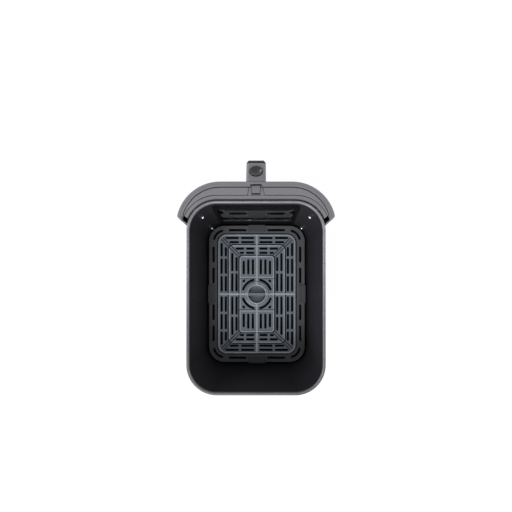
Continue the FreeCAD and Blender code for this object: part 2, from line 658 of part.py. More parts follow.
# Outer window
PANE_IN = FRONT_Y + SHELL_WALL
seal_in = PANE_IN + PANE_SEAL
pane_low = OUTER_LOW - OUTER_LAP - 0.5
pane_high = OUTER_HIGH + OUTER_LAP - 0.5
outer_seal = upright(OUTER_HALF_WIDTH + OUTER_LAP, pane_low, pane_high, OUTER_CORNER - 1.0, PANE_IN, seal_in)
outer_seal = outer_seal.cut(upright(OUTER_HALF_WIDTH + 0.6, OUTER_LOW - 0.6, OUTER_HIGH + 0.6,
                                    OUTER_CORNER, PANE_IN - 2.0, seal_in + 3.0))
keep("outer_window_seal", outer_seal)
keep("outer_window_glass", upright(OUTER_HALF_WIDTH + OUTER_LAP, pane_low, pane_high, OUTER_CORNER - 1.0,
                                   seal_in, seal_in + PANE_THICK))

# Handle: a sloping arm and a hanging grip, split into an outer and an inner half
ARM_LOW = SHELF_Z + 1.0
half = HANDLE_WIDTH / 2.0
inner_knee = (HANDLE_TIP_Y + GRIP_DEPTH + 11.5, ARM_LOW)
inner_end = (HANDLE_TIP_Y + GRIP_DEPTH, HANDLE_LOW)
arm_end = HANDLE_TIP_Y + GRIP_DEPTH - 0.5
side = [(FRONT_Y, HANDLE_TOP),
        (arm_end, HANDLE_TOP - (FRONT_Y - arm_end) * RAKE),
        (HANDLE_TIP_Y + 8.9, HANDLE_TOP - 25.0),
        (HANDLE_TIP_Y, HANDLE_LOW + 10.5),
        (HANDLE_TIP_Y + 1.0, HANDLE_LOW + 1.0),
        inner_end,
        inner_knee,
        (FRONT_Y, ARM_LOW)]
side_rounds = [0, 5.0, 12.0, 5.0, 4.5, 4.5, 9.0, 0]


def handle_side(at_x):
    return rounded_poly([V(-at_x, y, z) for y, z in side], side_rounds)


def outer_rim_edge(e):
    b = e.BoundBox
    return b.XLength < 0.01 and abs(b.XMin) > half - 0.01 and b.YMin < FRONT_Y - 0.5


handle = Part.Face(handle_side(half)).extrude(V(2 * half, 0, 0))
handle = handle.makeChamfer(EDGE_BEVEL, [e for e in handle.Edges if outer_rim_edge(e)])
inside = half - HANDLE_WALL
hollow = Part.Face(handle_side(inside).makeOffset2D(-HANDLE_WALL)).extrude(V(2 * inside, 0, 0))
hollow = hollow.common(bar(half + 4.0, HANDLE_TIP_Y - 20.0, FRONT_Y - ROOT_WALL, 0.0, SHELL_TOP + 20.0))
ARM_PARTING = ARM_LOW + 6.0
parting = [(FRONT_Y + 16.0, ARM_PARTING), (inner_knee[0] + 3.5, ARM_PARTING),
           (inner_knee[0] - 7.0, ARM_LOW - 3.0), (HANDLE_TIP_Y + 7.5, HANDLE_LOW - 13.5),
           (HANDLE_TIP_Y - 30.0, HANDLE_LOW - 13.5), (HANDLE_TIP_Y - 30.0, SHELL_TOP + 27.0),
           (FRONT_Y + 16.0, SHELL_TOP + 27.0)]
outer_zone = Part.Face(Part.makePolygon([V(-FAR / 8, y, z) for y, z in parting + [parting[0]]]))
outer_zone = outer_zone.extrude(V(FAR / 4, 0, 0))

FLANGE_TOP = HANDLE_WALL + 0.1
FLANGE_LOW = FLANGE_TOP + FLANGE_THICK
GUIDE_AT = FLANGE_LOW + BUTTON_TRAVEL + BUTTON_WIRE * BUTTON_TURNS
POST_RADIUS = 1.8
POST_ACROSS = 11.1
POST_UPHILL = 8.5
posts_at = [(sx * POST_ACROSS, su * POST_UPHILL) for sx in (-1, 1) for su in (-1, 1)]
screwed_posts = (posts_at[0], posts_at[3])
posts = [rod(POST_RADIUS, along(HANDLE_WALL - 1.0, x, u), along(GUIDE_AT, x, u)) for x, u in posts_at]
inner_face = V(0, inner_end[0] - inner_knee[0], inner_end[1] - inner_knee[1])
grip_out = V(0, inner_face.z, -inner_face.y).normalize()
GRIP_SCREW_SHARES = (0.38, 0.80)
grip_screw_at = [V(0, *inner_knee).add(inner_face * share) for share in GRIP_SCREW_SHARES]
arm_screw_at = [V(sx * 9.8, FRONT_Y - ROOT_WALL - 2.4, ARM_LOW) for sx in (-1, 1)]
up = V(0, 0, 1)
grip_bosses = [rod(3.3, p.add(grip_out * 0.6), p.add(grip_out * 17.0)).common(handle) for p in grip_screw_at]
arm_bosses = [rod(3.0, p.add(up), p.add(up * 14.5)) for p in arm_screw_at]
handle_all = handle.cut(hollow).fuse(grip_bosses + arm_bosses)
handle_outer = handle_all.common(outer_zone).fuse(posts).cut(foot_way)
handle_inner = handle_all.cut(outer_zone).cut(foot_way)
handle_outer = handle_outer.cut(rod(BUTTON_RADIUS + BUTTON_GAP, along(-6), along(HANDLE_WALL + 0.2)))
handle_outer = handle_outer.cut([rod(FIX_SCREW[2] + THREAD_FIT, p.add(V(0, 1, 0)), p.sub(V(0, 4.4, 0)))
                                 for p in fix_at])
handle_outer = handle_outer.cut([rod(GUIDE_SCREW[2] + THREAD_FIT, along(GUIDE_AT - GUIDE_SCREW[3], x, u),
                                     along(GUIDE_AT + 1.0, x, u)) for x, u in screwed_posts])
grip_screw = screw(*GRIP_SCREW)
HEAD_SINK = 2.1
handle_screws = []
for p, way in [(p, grip_out) for p in grip_screw_at] + [(p, up) for p in arm_screw_at]:
    handle_inner = handle_inner.cut([rod(GRIP_SCREW[2] + HOLE_FIT, p.sub(way * 2), p.add(way * 9)),
                                     rod(GRIP_SCREW[0] + HOLE_FIT, p.sub(way * 3), p.add(way * HEAD_SINK))])
    handle_outer = handle_outer.cut(rod(GRIP_SCREW[2] + THREAD_FIT, p.add(way), p.add(way * 13.2)))
    handle_screws.append(placed(grip_screw, p.add(way * HEAD_SINK), way * -1))
keep("handle_outer", handle_outer.removeSplitter())
keep("handle_inner", handle_inner.removeSplitter())
keep("handle_screws", Part.makeCompound(handle_screws))

# Bracket inside the shell that carries the handle and the latch
bracket_back = PANE_IN + BRACKET_THICK
bracket = bar(BRACKET_HALF_WIDTH, PANE_IN, bracket_back, SHELF_Z - BRACKET_THICK, LEDGE)
bracket = bracket.fuse(bar(BRACKET_HALF_WIDTH, PANE_IN, LATCH_BACK + 4.2, SHELF_Z - BRACKET_THICK, SHELF_Z))
bracket = bracket.removeSplitter()
bracket = bracket.cut(bar(FOOT_WAY_HALF, PANE_IN - 3.0, PANE_IN + 3.0, FOOT_WAY_LOW, FOOT_WAY_HIGH))
house_half = LATCH_HALF_WIDTH + SLIDE_FIT + HOUSE_WALL
bracket = bracket.cut(bar(house_half + 0.3, LATCH_FRONT - SLIDE_FIT - HOUSE_WALL - 0.5,
                          LATCH_BACK + SLIDE_FIT + HOUSE_WALL + 0.4, SHELF_Z - 5.0, SHELF_Z + 3.0))
bracket = bracket.cut([rod(FIX_SCREW[2] + HOLE_FIT, p, p.add(V(0, 8, 0))) for p in fix_at])
LATCH_SCREW_X = 14.0
latch_screw_at = [V(sx * LATCH_SCREW_X, LATCH_MID + 0.75, SHELF_Z) for sx in (-1, 1)]
bracket = bracket.cut([rod(LATCH_SCREW[2] + THREAD_FIT, p.sub(up * 5), p.add(up * 5)) for p in latch_screw_at])
keep("handle_bracket", bracket)
fix_screw = screw(*FIX_SCREW)
fix_screws = [placed(fix_screw, V(p.x, bracket_back, p.z), V(0, 1, 0)) for p in fix_at]
keep("handle_fix_screws", Part.makeCompound(fix_screws))

# Release button, its guide and its spring
DISH_RADIUS = 20.6
DISH_DEPTH = 2.4
cap = Part.makeCylinder(BUTTON_RADIUS, FLANGE_TOP + BUTTON_PROUD, V(0, 0, -FLANGE_TOP))
cap = fillet_where(cap, 0.9, lambda e: e.BoundBox.ZMin > BUTTON_PROUD - 0.01)
cap = cap.cut(Part.makeSphere(DISH_RADIUS, V(0, 0, BUTTON_PROUD + DISH_RADIUS - DISH_DEPTH)))
cap = cap.fuse([Part.makeCylinder(FLANGE_RADIUS, FLANGE_THICK, V(0, 0, -FLANGE_LOW)),
                Part.makeCylinder(STEM_RADIUS, STEM_TIP - FLANGE_LOW + 1.0, V(0, 0, -STEM_TIP)),
                Part.makeSphere(STEM_RADIUS, V(0, 0, -STEM_TIP))]).removeSplitter()
keep("release_button", placed(cap, button_at, press * -1))
guide = block(-13.0, 13.0, -11.0, 11.0, -GUIDE_AT - GUIDE_THICK, -GUIDE_AT)
guide = guide.cut(Part.makeCylinder(STEM_RADIUS + HOLE_FIT + THREAD_FIT, 10.0, V(0, 0, -GUIDE_AT - 5.0)))
guide.Placement = FreeCAD.Placement(button_at, FreeCAD.Rotation(V(1, 0, 0), HANDLE_SLOPE))
guide = guide.cut(bar(half, FRONT_Y - ROOT_WALL - 0.3, FRONT_Y + 10.0, 0.0, SHELL_TOP + 10.0))
guide_screw = screw(*GUIDE_SCREW)
guide_screws = []
for x, u in screwed_posts:
    guide = guide.cut(rod(GUIDE_SCREW[2] + THREAD_FIT, along(GUIDE_AT - 6, x, u), along(GUIDE_AT + 4, x, u)))
    guide_screws.append(placed(guide_screw, along(GUIDE_AT + GUIDE_THICK, x, u), press))
keep("button_guide", guide)
keep("guide_screws", Part.makeCompound(guide_screws))
spring_room = GUIDE_AT - FLANGE_LOW
button_spring = coil("button_spring", BUTTON_COIL, BUTTON_WIRE, spring_room - 0.2, BUTTON_TURNS)
keep("button_spring", placed(button_spring, along(GUIDE_AT - 0.1), press * -1))

# Latch: hook, sliding body and foot in one piece
HOOK_NOSE = 3.0
hook = [(LATCH_FRONT, LATCH_LOW), (LATCH_FRONT, LATCH_TOP), (LATCH_FRONT + HOOK_NOSE, LATCH_TOP),
        (LATCH_BACK, COVER_TOP - 0.2), (LATCH_BACK, LATCH_LOW)]
hook_wire = rounded_poly([V(-LATCH_HALF_WIDTH, y, z) for y, z in hook], [0, 0.8, 1.5, 0, 0])
latch = Part.Face(hook_wire).extrude(V(2 * LATCH_HALF_WIDTH, 0, 0))
foot = bar(FOOT_HALF_WIDTH, FOOT_END, LATCH_FRONT + 1.0, FOOT_TOP - FOOT_THICK, FOOT_TOP)
latch = latch.fuse(foot).removeSplitter()
latch = latch.cut(Part.makeCylinder(LATCH_BORE, LATCH_BORE_DEPTH + 0.1, V(0, LATCH_MID, LATCH_LOW - 0.1)))
keep("latch", latch)

# Latch housing: guide box, flush top frame, ears on the bracket's shelf
HOUSE_LOW = SHELF_Z - HOUSE_HANG
HOUSE_FLOOR = 2.0
HOOK_WAY = 2.3
EAR_REACH = 18.0
EAR_THICK = 3.0
house_front = LATCH_FRONT - SLIDE_FIT - HOUSE_WALL
house_back = LATCH_BACK + SLIDE_FIT + HOUSE_WALL
house = bar(house_half, house_front, house_back, HOUSE_LOW, SEAT)
ears = bar(EAR_REACH, latch_screw_at[0].y - 4.0, latch_screw_at[0].y + 4.0, SHELF_Z, SHELF_Z + EAR_THICK)
collar = bar(HOUSE_HALF_BACK - 0.3, HOUSE_FRONT + 2.4, HOUSE_BACK - 2.0, SEAT - 4.0, SEAT)
house = house.fuse([ears, collar, housing_top(0.0, SEAT, COVER_TOP)])
house = house.cut(bar(LATCH_HALF_WIDTH + SLIDE_FIT, LATCH_FRONT - SLIDE_FIT, LATCH_BACK + SLIDE_FIT,
                      HOUSE_LOW + HOUSE_FLOOR, FAR))
house = house.cut(bar(house_half + 0.3, FRONT_Y - 4.0, LATCH_FRONT + 0.4, SEAT - 0.01, FAR))
house = house.cut(bar(LATCH_HALF_WIDTH + 0.6, LATCH_FRONT, LATCH_BACK + HOOK_WAY, SEAT - 8.0, FAR))
house = house.cut(bar(FOOT_HALF_WIDTH + 0.5, FRONT_Y - 4.0, LATCH_FRONT + 1.0, FOOT_WAY_LOW - 0.5,
                      FOOT_WAY_HIGH))
house = house.cut(bar(EAR_REACH + 12.0, FRONT_Y - 14.0, bracket_back + HOLE_FIT, 0.0, FAR))
house = house.cut(bar(EAR_REACH + 12.0, FRONT_Y - 14.0, seal_in + PANE_THICK + 0.4, 0.0, SHELF_Z - 0.5))
house = house.cut([rod(LATCH_SCREW[2] + HOLE_FIT, p.sub(up * 2), p.add(up * 8)) for p in latch_screw_at])
keep("latch_housing", house.removeSplitter())
latch_screw = screw(*LATCH_SCREW)
latch_screws = [placed(latch_screw, p.add(up * EAR_THICK), up) for p in latch_screw_at]
keep("latch_screws", Part.makeCompound(latch_screws))
spring_low = HOUSE_LOW + HOUSE_FLOOR + 0.1
spring_high = LATCH_LOW + LATCH_BORE_DEPTH - 0.1
latch_spring = coil("latch_spring", LATCH_COIL, LATCH_WIRE, spring_high - spring_low, LATCH_TURNS)
latch_spring.translate(V(0, LATCH_MID, spring_low))
keep("latch_spring", latch_spring)

# Crisper plate: stepped terraces, recessed panels, slots and a pinch grip
pan_at_plate = pan_dims(PLATE_FLANGE_TOP)
PLATE_HALF_WIDTH = pan_at_plate[0] - PLATE_SIDE_GAP
PLATE_HALF_LENGTH = pan_at_plate[1] - PLATE_END_GAP
RISER_LAP = 2.6
tops = [PLATE_FLANGE_TOP + TERRACE * i for i in range(4)]
terrace_width = (PLATE_HALF_WIDTH - FLANGE_WIDTH - CENTRE_HALF_WIDTH) / 2.0
rings = [(PLATE_HALF_WIDTH - FLANGE_WIDTH - terrace_width * i,
          PLATE_HALF_LENGTH - FLANGE_LENGTH - terrace_width * i, TERRACE_CORNERS[i]) for i in range(3)]
THROUGH = (0.0, tops[3] + 20.0)


def ring_slab(i, inset, z0, z1):
    hx, hy, r = rings[i]
    return rect_slab(hx - inset, hy - inset, max(r - inset, 1.0), z0, z1)


plate = rect_slab(PLATE_HALF_WIDTH, PLATE_HALF_LENGTH, PLATE_CORNER, tops[0] - PLATE_THICK, tops[0])
plate = fillet_where(plate, 1.0, lambda e: e.BoundBox.ZMin > tops[0] - 0.01)
plate = plate.cut(ring_slab(0, RISER_LAP, *THROUGH))
for i in range(3):
    top = tops[i + 1]
    terrace = ring_slab(i, 0.0, top - PLATE_THICK, top)
    terrace = fillet_where(terrace, 0.8, lambda e: e.BoundBox.ZMin > top - 0.01)
    if i < 2:
        terrace = terrace.cut(ring_slab(i + 1, RISER_LAP, *THROUGH))
    plate = plate.fuse(terrace)
ribs = [block(-SPINE / 2, SPINE / 2, -PLATE_HALF_LENGTH, PLATE_HALF_LENGTH, *THROUGH),
        block(-PLATE_HALF_WIDTH, PLATE_HALF_WIDTH, -SPINE / 2, SPINE / 2, *THROUGH)]
for sx in (-1, 1):
    for sy in (-1, 1):
        diagonal = block(-terrace_width * 2.8, 0.0, -RIB * 0.55, RIB * 0.55, *THROUGH)
        diagonal.rotate(V(0, 0, 0), V(0, 0, 1), math.degrees(math.atan2(sy, sx)))
        diagonal.translate(V(sx * rings[0][0], sy * rings[0][1], 0))
        ribs.append(diagonal)
panels = []
for i in range(2):
    field = ring_slab(i, RIB, tops[i + 1] - PANEL_DEPTH, tops[i + 1] + 0.6)
    field = field.cut(ring_slab(i + 1, 0.0, *THROUGH)).cut(ribs)
    for solid in field.Solids:
        panels.append(fillet_where(solid, 1.6, lambda e: e.BoundBox.ZLength > 1.3 and e.Length < 1.5))
field = ring_slab(2, RIB, tops[3] - PANEL_DEPTH, tops[3] + 0.6).cut(ribs[:2])
for sy in (-1, 1):
    field = field.cut(bar(PLATE_HALF_WIDTH, sy * CROSS_RIB - 1.6, sy * CROSS_RIB + 1.6, *THROUGH))
field = field.cut(Part.makeCylinder(GRIP_RADIUS + 0.5, THROUGH[1]))
plate = plate.cut(panels + field.Solids)
SLOT_LOW = 8.0
SLOT_TALL = 22.0
SLOT_END = SLOT * 0.49


def slot_x(x0, x1, y):
    return slab(rounded_rect((x1 - x0) / 2.0, SLOT / 2.0, SLOT_END, SLOT_LOW, (x0 + x1) / 2.0, y), SLOT_TALL)


def slot_y(x, y0, y1):
    return slab(rounded_rect(SLOT / 2.0, (y1 - y0) / 2.0, SLOT_END, SLOT_LOW, x, (y0 + y1) / 2.0), SLOT_TALL)


def slot_arc(cx, cy, radius, a0, a1):
    def at(r, a):
        return V(cx + r * math.cos(math.radians(a)), cy + r * math.sin(math.radians(a)), SLOT_LOW)

    w = SLOT / 2.0
    turn = math.degrees(w / radius)
    mid = (a0 + a1) / 2.0
    edges = [arc(at(radius + w, a0), at(radius + w, mid), at(radius + w, a1)),
             arc(at(radius + w, a1), at(radius, a1 + turn), at(radius - w, a1)),
             arc(at(radius - w, a1), at(radius - w, mid), at(radius - w, a0)),
             arc(at(radius - w, a0), at(radius, a0 - turn), at(radius + w, a0))]
    return slab(Part.Wire(edges), SLOT_TALL)


def spans(start, end, count, bridge, trim=0.0):
    """Equal slots from start to end with bridges between, the last one shortened or left out."""
    length = (end - start - bridge * (count - 1)) / count
    pairs = [(start + (length + bridge) * i, start + (length + bridge) * i + length) for i in range(count)]
    last = pairs.pop()
    if length - trim > SLOT * 1.3:
        pairs.append((last[0], last[1] - trim))
    return pairs


# Slots of one quarter: flange, two terraces, centre field, round the grip
SLOT_START = 4.7
SLOT_TRIM = 8.0
SLOT_PLAN = ((2, 14.4, 0.0, 3, 12.6, 4.0), (2, 13.6, 0.0, 2, 15.4, 0.0))
quarter = [slot_x(BUMPER_END_HALF + 3.5, PLATE_HALF_WIDTH - 39.1, PLATE_HALF_LENGTH - 8.9),
           slot_arc(PLATE_HALF_WIDTH - PLATE_CORNER, PLATE_HALF_LENGTH - PLATE_CORNER,
                    PLATE_CORNER - 10.0, 13, 77)]
for a, b in spans(BUMPER_SIDE_HALF + 2.7, PLATE_HALF_LENGTH - 41.5, 2, 10.0):
    quarter.append(slot_y(PLATE_HALF_WIDTH - 9.2, a, b))
slot_rows = 1 + int((terrace_width - SLOT_INSET - SLOT / 2.0 - 1.0) / SLOT_PITCH)
for i, (across, across_end, across_trim, down, down_end, down_trim) in enumerate(SLOT_PLAN):
    hx, hy, r = rings[i]
    for k in range(slot_rows):
        inset = SLOT_INSET + SLOT_PITCH * k
        for a, b in spans(SLOT_START, hx - across_end, across, SLOT_BRIDGE, across_trim + SLOT_TRIM * k):
            quarter.append(slot_x(a, b, hy - inset))
        for a, b in spans(SLOT_START, hy - down_end, down, SLOT_BRIDGE, down_trim + SLOT_TRIM * k):
            quarter.append(slot_y(hx - inset, a, b))
CENTRE_PITCH = 9.0
centre_rows = 1 + int((rings[2][0] - CENTRE_INSET - SPINE / 2.0 - SLOT / 2.0 - 1.0) / CENTRE_PITCH)
for k in range(centre_rows):
    shorter = 2.9 if k == 0 else 0.0
    quarter.append(slot_y(rings[2][0] - CENTRE_INSET - CENTRE_PITCH * k, CROSS_RIB + 5.3,
                          rings[2][1] - 6.7 - shorter))
quarter.append(slot_arc(0, 0, GRIP_RADIUS + 4.4, 19, 76))
tick = slot_x(-3.2, 3.2, 0)
tick.rotate(V(0, 0, 0), V(0, 0, 1), -45)
tick_reach = (GRIP_RADIUS + 12.3) * math.sqrt(0.5)
tick.translate(V(tick_reach, tick_reach, 0))
quarter.append(tick)
right = quarter + [q.mirror(V(0, 0, 0), V(0, 1, 0)) for q in quarter]
plate = plate.cut(Part.makeCompound(right + [mirrored(q) for q in right]))

# Holes that hold the bumpers, then the grip: a ring round a cup with a bar across it
END_HOLE = 11.0
SIDE_HOLE = 12.0
HOLE_HALF = 2.0
end_hole_at = PLATE_HALF_LENGTH - BUMPER_INSET
side_hole_at = PLATE_HALF_WIDTH - BUMPER_INSET
for s in (-1, 1):
    end_y = s * end_hole_at
    side_x = s * side_hole_at
    plate = plate.cut([bar(END_HOLE, end_y - HOLE_HALF, end_y + HOLE_HALF, *THROUGH),
                       block(side_x - HOLE_HALF, side_x + HOLE_HALF, -SIDE_HOLE, SIDE_HOLE, *THROUGH)])
cup_low = tops[3] - GRIP_DEEP
cup = Part.makeCylinder(GRIP_RECESS + CUP_WALL, GRIP_DEEP - 1.0, V(0, 0, cup_low))
cup = fillet_where(cup, 3.0, lambda e: e.BoundBox.ZMax < cup_low + 0.01)
grip_ring = Part.makeCylinder(GRIP_RADIUS, 4.0, V(0, 0, tops[3] - 2.0))
grip_ring = fillet_where(grip_ring, 1.8, lambda e: e.BoundBox.ZMin > tops[3] + 1.9)
recess = Part.makeCylinder(GRIP_RECESS, GRIP_DEEP * 2.0, V(0, 0, cup_low + 2.0))
recess = fillet_where(recess, 2.5, lambda e: e.BoundBox.ZMax < cup_low + 2.01)
grip_bar = bar(GRIP_RECESS + 1.0, -GRIP_BAR / 2, GRIP_BAR / 2, cup_low + 1.0, tops[3] + 0.6)
grip_bar = fillet_where(grip_bar, 1.2, lambda e: e.BoundBox.ZMin > tops[3] + 0.59 and e.BoundBox.YLength < 0.1)
plate = plate.fuse([cup, grip_ring]).cut(recess).fuse(grip_bar).removeSplitter()
keep("crisper_plate", plate)


# Silicone bumpers that hug the plate's edge and stand on the pan's base
def bumper(half_len, hole_half):
    """Bumper for the +Y edge, with that edge at Y = 0."""
    low = tops[0] - PLATE_THICK
    cap_top = tops[0] + 1.7
    leg_low = SHEET + 0.1
    pad = block(-half_len, half_len, -12.5, BUMPER_REACH, low - 2.5, cap_top)
    pad = fillet_where(pad, 2.2, lambda e: e.BoundBox.ZLength > 2.5 and e.BoundBox.YMin > 0)
    pad = fillet_where(pad, 1.2, lambda e: e.BoundBox.ZMin > cap_top - 0.01)
    pad = pad.cut(block(-half_len - 5.0, half_len + 5.0, -30.0, 0.0, low, tops[0]))
    plug = bar(hole_half, -BUMPER_INSET - HOLE_HALF, -BUMPER_INSET + HOLE_HALF, low - 1.0, tops[0] + 0.5)
    leg = block(-half_len + 2.0, half_len - 2.0, -12.5, -8.0, leg_low, low - 2.0)
    leg = fillet_where(leg, 1.2, lambda e: e.BoundBox.ZMax < leg_low + 0.01)
    return pad.fuse([plug, leg]).removeSplitter()


end_bumper = bumper(BUMPER_END_HALF, END_HOLE)
side_bumper = bumper(BUMPER_SIDE_HALF, SIDE_HOLE)
for name, shape, turn, reach in (("bumper_rear", end_bumper, 0, PLATE_HALF_LENGTH),
                                 ("bumper_left", side_bumper, 90, PLATE_HALF_WIDTH),
                                 ("bumper_front", end_bumper, 180, PLATE_HALF_LENGTH),
                                 ("bumper_right", side_bumper, 270, PLATE_HALF_WIDTH)):
    piece = shape.copy()
    piece.translate(V(0, reach, 0))
    piece.rotate(V(0, 0, 0), V(0, 0, 1), turn)
    keep(name, piece)
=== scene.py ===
# %% [markdown]
# An air fryer's drawer seen from above: a black coated pan, a grey moulded front with a handle
# and a push button, a small latch, a window and a slotted crisper plate.
# The solids come in as a fixed frame, in metres. This lesson gives each of them its finish,
# and makes the small repeated hardware with Geometry Nodes.

# %% Load the frame
import json
import math
import bmesh
import bpy
from mathutils import Matrix, Vector


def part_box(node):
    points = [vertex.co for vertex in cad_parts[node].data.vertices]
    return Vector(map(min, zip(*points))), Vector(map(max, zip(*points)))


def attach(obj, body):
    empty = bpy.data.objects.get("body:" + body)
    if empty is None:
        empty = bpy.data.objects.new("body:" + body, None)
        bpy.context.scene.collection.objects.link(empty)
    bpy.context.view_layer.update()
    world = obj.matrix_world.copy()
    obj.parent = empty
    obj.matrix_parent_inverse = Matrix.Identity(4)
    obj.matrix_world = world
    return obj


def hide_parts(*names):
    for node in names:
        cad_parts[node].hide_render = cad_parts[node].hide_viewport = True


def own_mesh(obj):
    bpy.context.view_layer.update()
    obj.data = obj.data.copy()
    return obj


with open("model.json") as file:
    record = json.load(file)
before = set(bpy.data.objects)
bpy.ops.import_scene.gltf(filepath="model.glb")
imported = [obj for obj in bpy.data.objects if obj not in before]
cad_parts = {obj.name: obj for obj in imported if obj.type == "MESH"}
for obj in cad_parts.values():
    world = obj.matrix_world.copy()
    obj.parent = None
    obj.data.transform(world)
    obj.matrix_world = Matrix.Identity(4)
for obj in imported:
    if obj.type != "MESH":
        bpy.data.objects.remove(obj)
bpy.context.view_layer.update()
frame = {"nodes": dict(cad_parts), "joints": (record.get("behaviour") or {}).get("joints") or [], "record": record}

nodes = frame["nodes"]
slot_of = {row["node"]: row["material_slot"] for row in frame["record"]["subparts"]}
body_of = {}
for body, members in frame["record"]["behaviour"]["bodies"].items():
    for member in members:
        body_of[member] = body

# %% [markdown]
# The picture is taken from straight above, close enough that the pan's floor looks clearly
# smaller than its rim. That ratio gives the height of the camera. Its image is turned so that
# the handle is at the top, and shifted a little, because the drawer is not in the middle. It
# stands a few millimetres to one side, which moves the plate against the rim.

# %% Camera
CAMERA_HEIGHT = 0.546
CAMERA_X = -0.0072
CAMERA_Y = 0.007
LENS_MM = 18.72
SENSOR_MM = 36.0
SHIFT_UP = 0.040
SHIFT_SIDE = -0.0088


def add_object(name, data):
    made = bpy.data.objects.new(name, data)
    bpy.context.scene.collection.objects.link(made)
    return made


lens = bpy.data.cameras.new("camera")
lens.lens = LENS_MM
lens.sensor_width = SENSOR_MM
lens.shift_x = SHIFT_SIDE
lens.shift_y = SHIFT_UP
camera = add_object("camera", lens)
camera.location = (CAMERA_X, CAMERA_Y, CAMERA_HEIGHT)
camera.rotation_euler = (0.0, 0.0, math.pi)
bpy.context.scene.camera = camera
bpy.context.scene.view_settings.view_transform = "Standard"

# %% [markdown]
# A finish is a node tree. Writing it as plain arithmetic keeps it readable, so a small class
# wraps one socket and adds a Math node for each operator. Every other node comes from one
# method, which sets the node's options first and then its sockets.


# %% A wire
class Wire:
    """One output socket of a finish, usable in arithmetic."""

    def __init__(self, finish, socket):
        self.finish = finish
        self.socket = socket

    def maths(self, operation, first, second):
        return self.finish.node("ShaderNodeMath", {"operation": operation}, {0: first, 1: second})

    def __add__(self, other):
        return self.maths("ADD", self, other)

    def __sub__(self, other):
        return self.maths("SUBTRACT", self, other)

    def __rsub__(self, other):
        return self.maths("SUBTRACT", other, self)

    def __mul__(self, other):
        return self.maths("MULTIPLY", self, other)

    def __truediv__(self, other):
        return self.maths("DIVIDE", self, other)

    def __abs__(self):
        return self.maths("ABSOLUTE", self, 0.0)

    def at_least(self, other):
        return self.maths("MAXIMUM", self, other)

    def at_most(self, other):
        return self.maths("MINIMUM", self, other)

    def root(self):
        return self.maths("SQRT", self, 0.0)


print("a wire has", sum(callable(value) for value in vars(Wire).values()), "methods")


# %% A finish
class Finish:
    """A material with one Principled shader and a method for any other node."""

    def __init__(self, name, constants):
        self.material = bpy.data.materials.new(name)
        self.material.use_nodes = True
        self.tree = self.material.node_tree
        self.shader = self.tree.nodes["Principled BSDF"]
        for socket, value in constants.items():
            self.shader.inputs[socket].default_value = value
        self.place = self.node("ShaderNodeTexCoord", {}, {}, "Object")

    def node(self, kind, settings, sockets, out=0):
        made = self.tree.nodes.new(kind)
        for name, value in settings.items():
            setattr(made, name, value)
        for key, value in sockets.items():
            if isinstance(value, Wire):
                self.tree.links.new(value.socket, made.inputs[key])
            else:
                made.inputs[key].default_value = value
        return Wire(self, made.outputs[out])

    def noise(self, scale, detail=3.0, place=None):
        sockets = {"Vector": place or self.place, "Scale": scale, "Detail": detail}
        return self.node("ShaderNodeTexNoise", {}, sockets)

    def ramp(self, value, low, high, start=0.0, end=1.0):
        """Value from low to high becomes start to end, smoothly and held at both ends."""
        sockets = {"Value": value, "From Min": low, "From Max": high, "To Min": start, "To Max": end}
        return self.node("ShaderNodeMapRange", {"interpolation_type": "SMOOTHSTEP"}, sockets)

    def blend(self, share, first, second):
        sockets = {0: share, 6: first, 7: second}
        return self.node("ShaderNodeMix", {"data_type": "RGBA"}, sockets, 2)

    def part(self, vector, index):
        return self.node("ShaderNodeSeparateXYZ", {}, {0: vector}, index)

    def axis(self, index):
        return self.part(self.place, index)

    def facing(self):
        """Direction of the face itself, without the smoothing."""
        return self.node("ShaderNodeNewGeometry", {}, {}, "True Normal")

    def above(self, value, limit, soft):
        """One where value is past the limit, with a soft edge."""
        return self.ramp(value, limit - soft, limit + soft)

    def below(self, value, limit, soft):
        return self.ramp(value, limit - soft, limit + soft, 1.0, 0.0)

    def band(self, value, low, high, soft):
        """One where value lies between low and high, with soft ends."""
        return self.above(value, low, soft) * self.below(value, high, soft)

    def bump(self, value, strength, distance):
        return self.node("ShaderNodeBump", {}, {"Height": value, "Strength": strength, "Distance": distance})

    def feed(self, socket, wire):
        self.tree.links.new(wire.socket, self.shader.inputs[socket])

    def cover(self, share, colour):
        """A matt colour with no gloss lies over the finish where share is one."""
        matt = self.node("ShaderNodeBsdfDiffuse", {}, {"Color": colour})
        under = Wire(self, self.shader.outputs[0])
        both = self.node("ShaderNodeMixShader", {}, {0: share, 1: under, 2: matt})
        self.tree.links.new(both.socket, self.tree.nodes["Material Output"].inputs["Surface"])


def grey(level, tint=(1.0, 1.0, 1.0)):
    return tuple(level * t for t in tint) + (1.0,)


finishes = {}
print("a finish has", sum(callable(value) for value in vars(Finish).values()), "methods")

# %% [markdown]
# The pan is pressed steel with a black non-stick coat. The coat is satin, with a faint orange
# peel and a few paler flecks. On the rolled rim it is thin and worn, so the metal's grey shows
# there. Towards the rear, and most on its outer side, the rim's grey is darker, as painted shade.
# The floor under the plate is matt and darker, as painted shade, so the slots look deep. One
# material covers all three, and the height on the pan decides which is seen.

# %% Places on the pan
pan_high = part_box("pan")[1]
RIM_HEIGHT = 0.0046
RIM_LOW = pan_high.z - RIM_HEIGHT
RIM_FADE = 0.0012
REAR_FADE = (-0.06, 0.13)
FLOOR_HIGH = 0.010

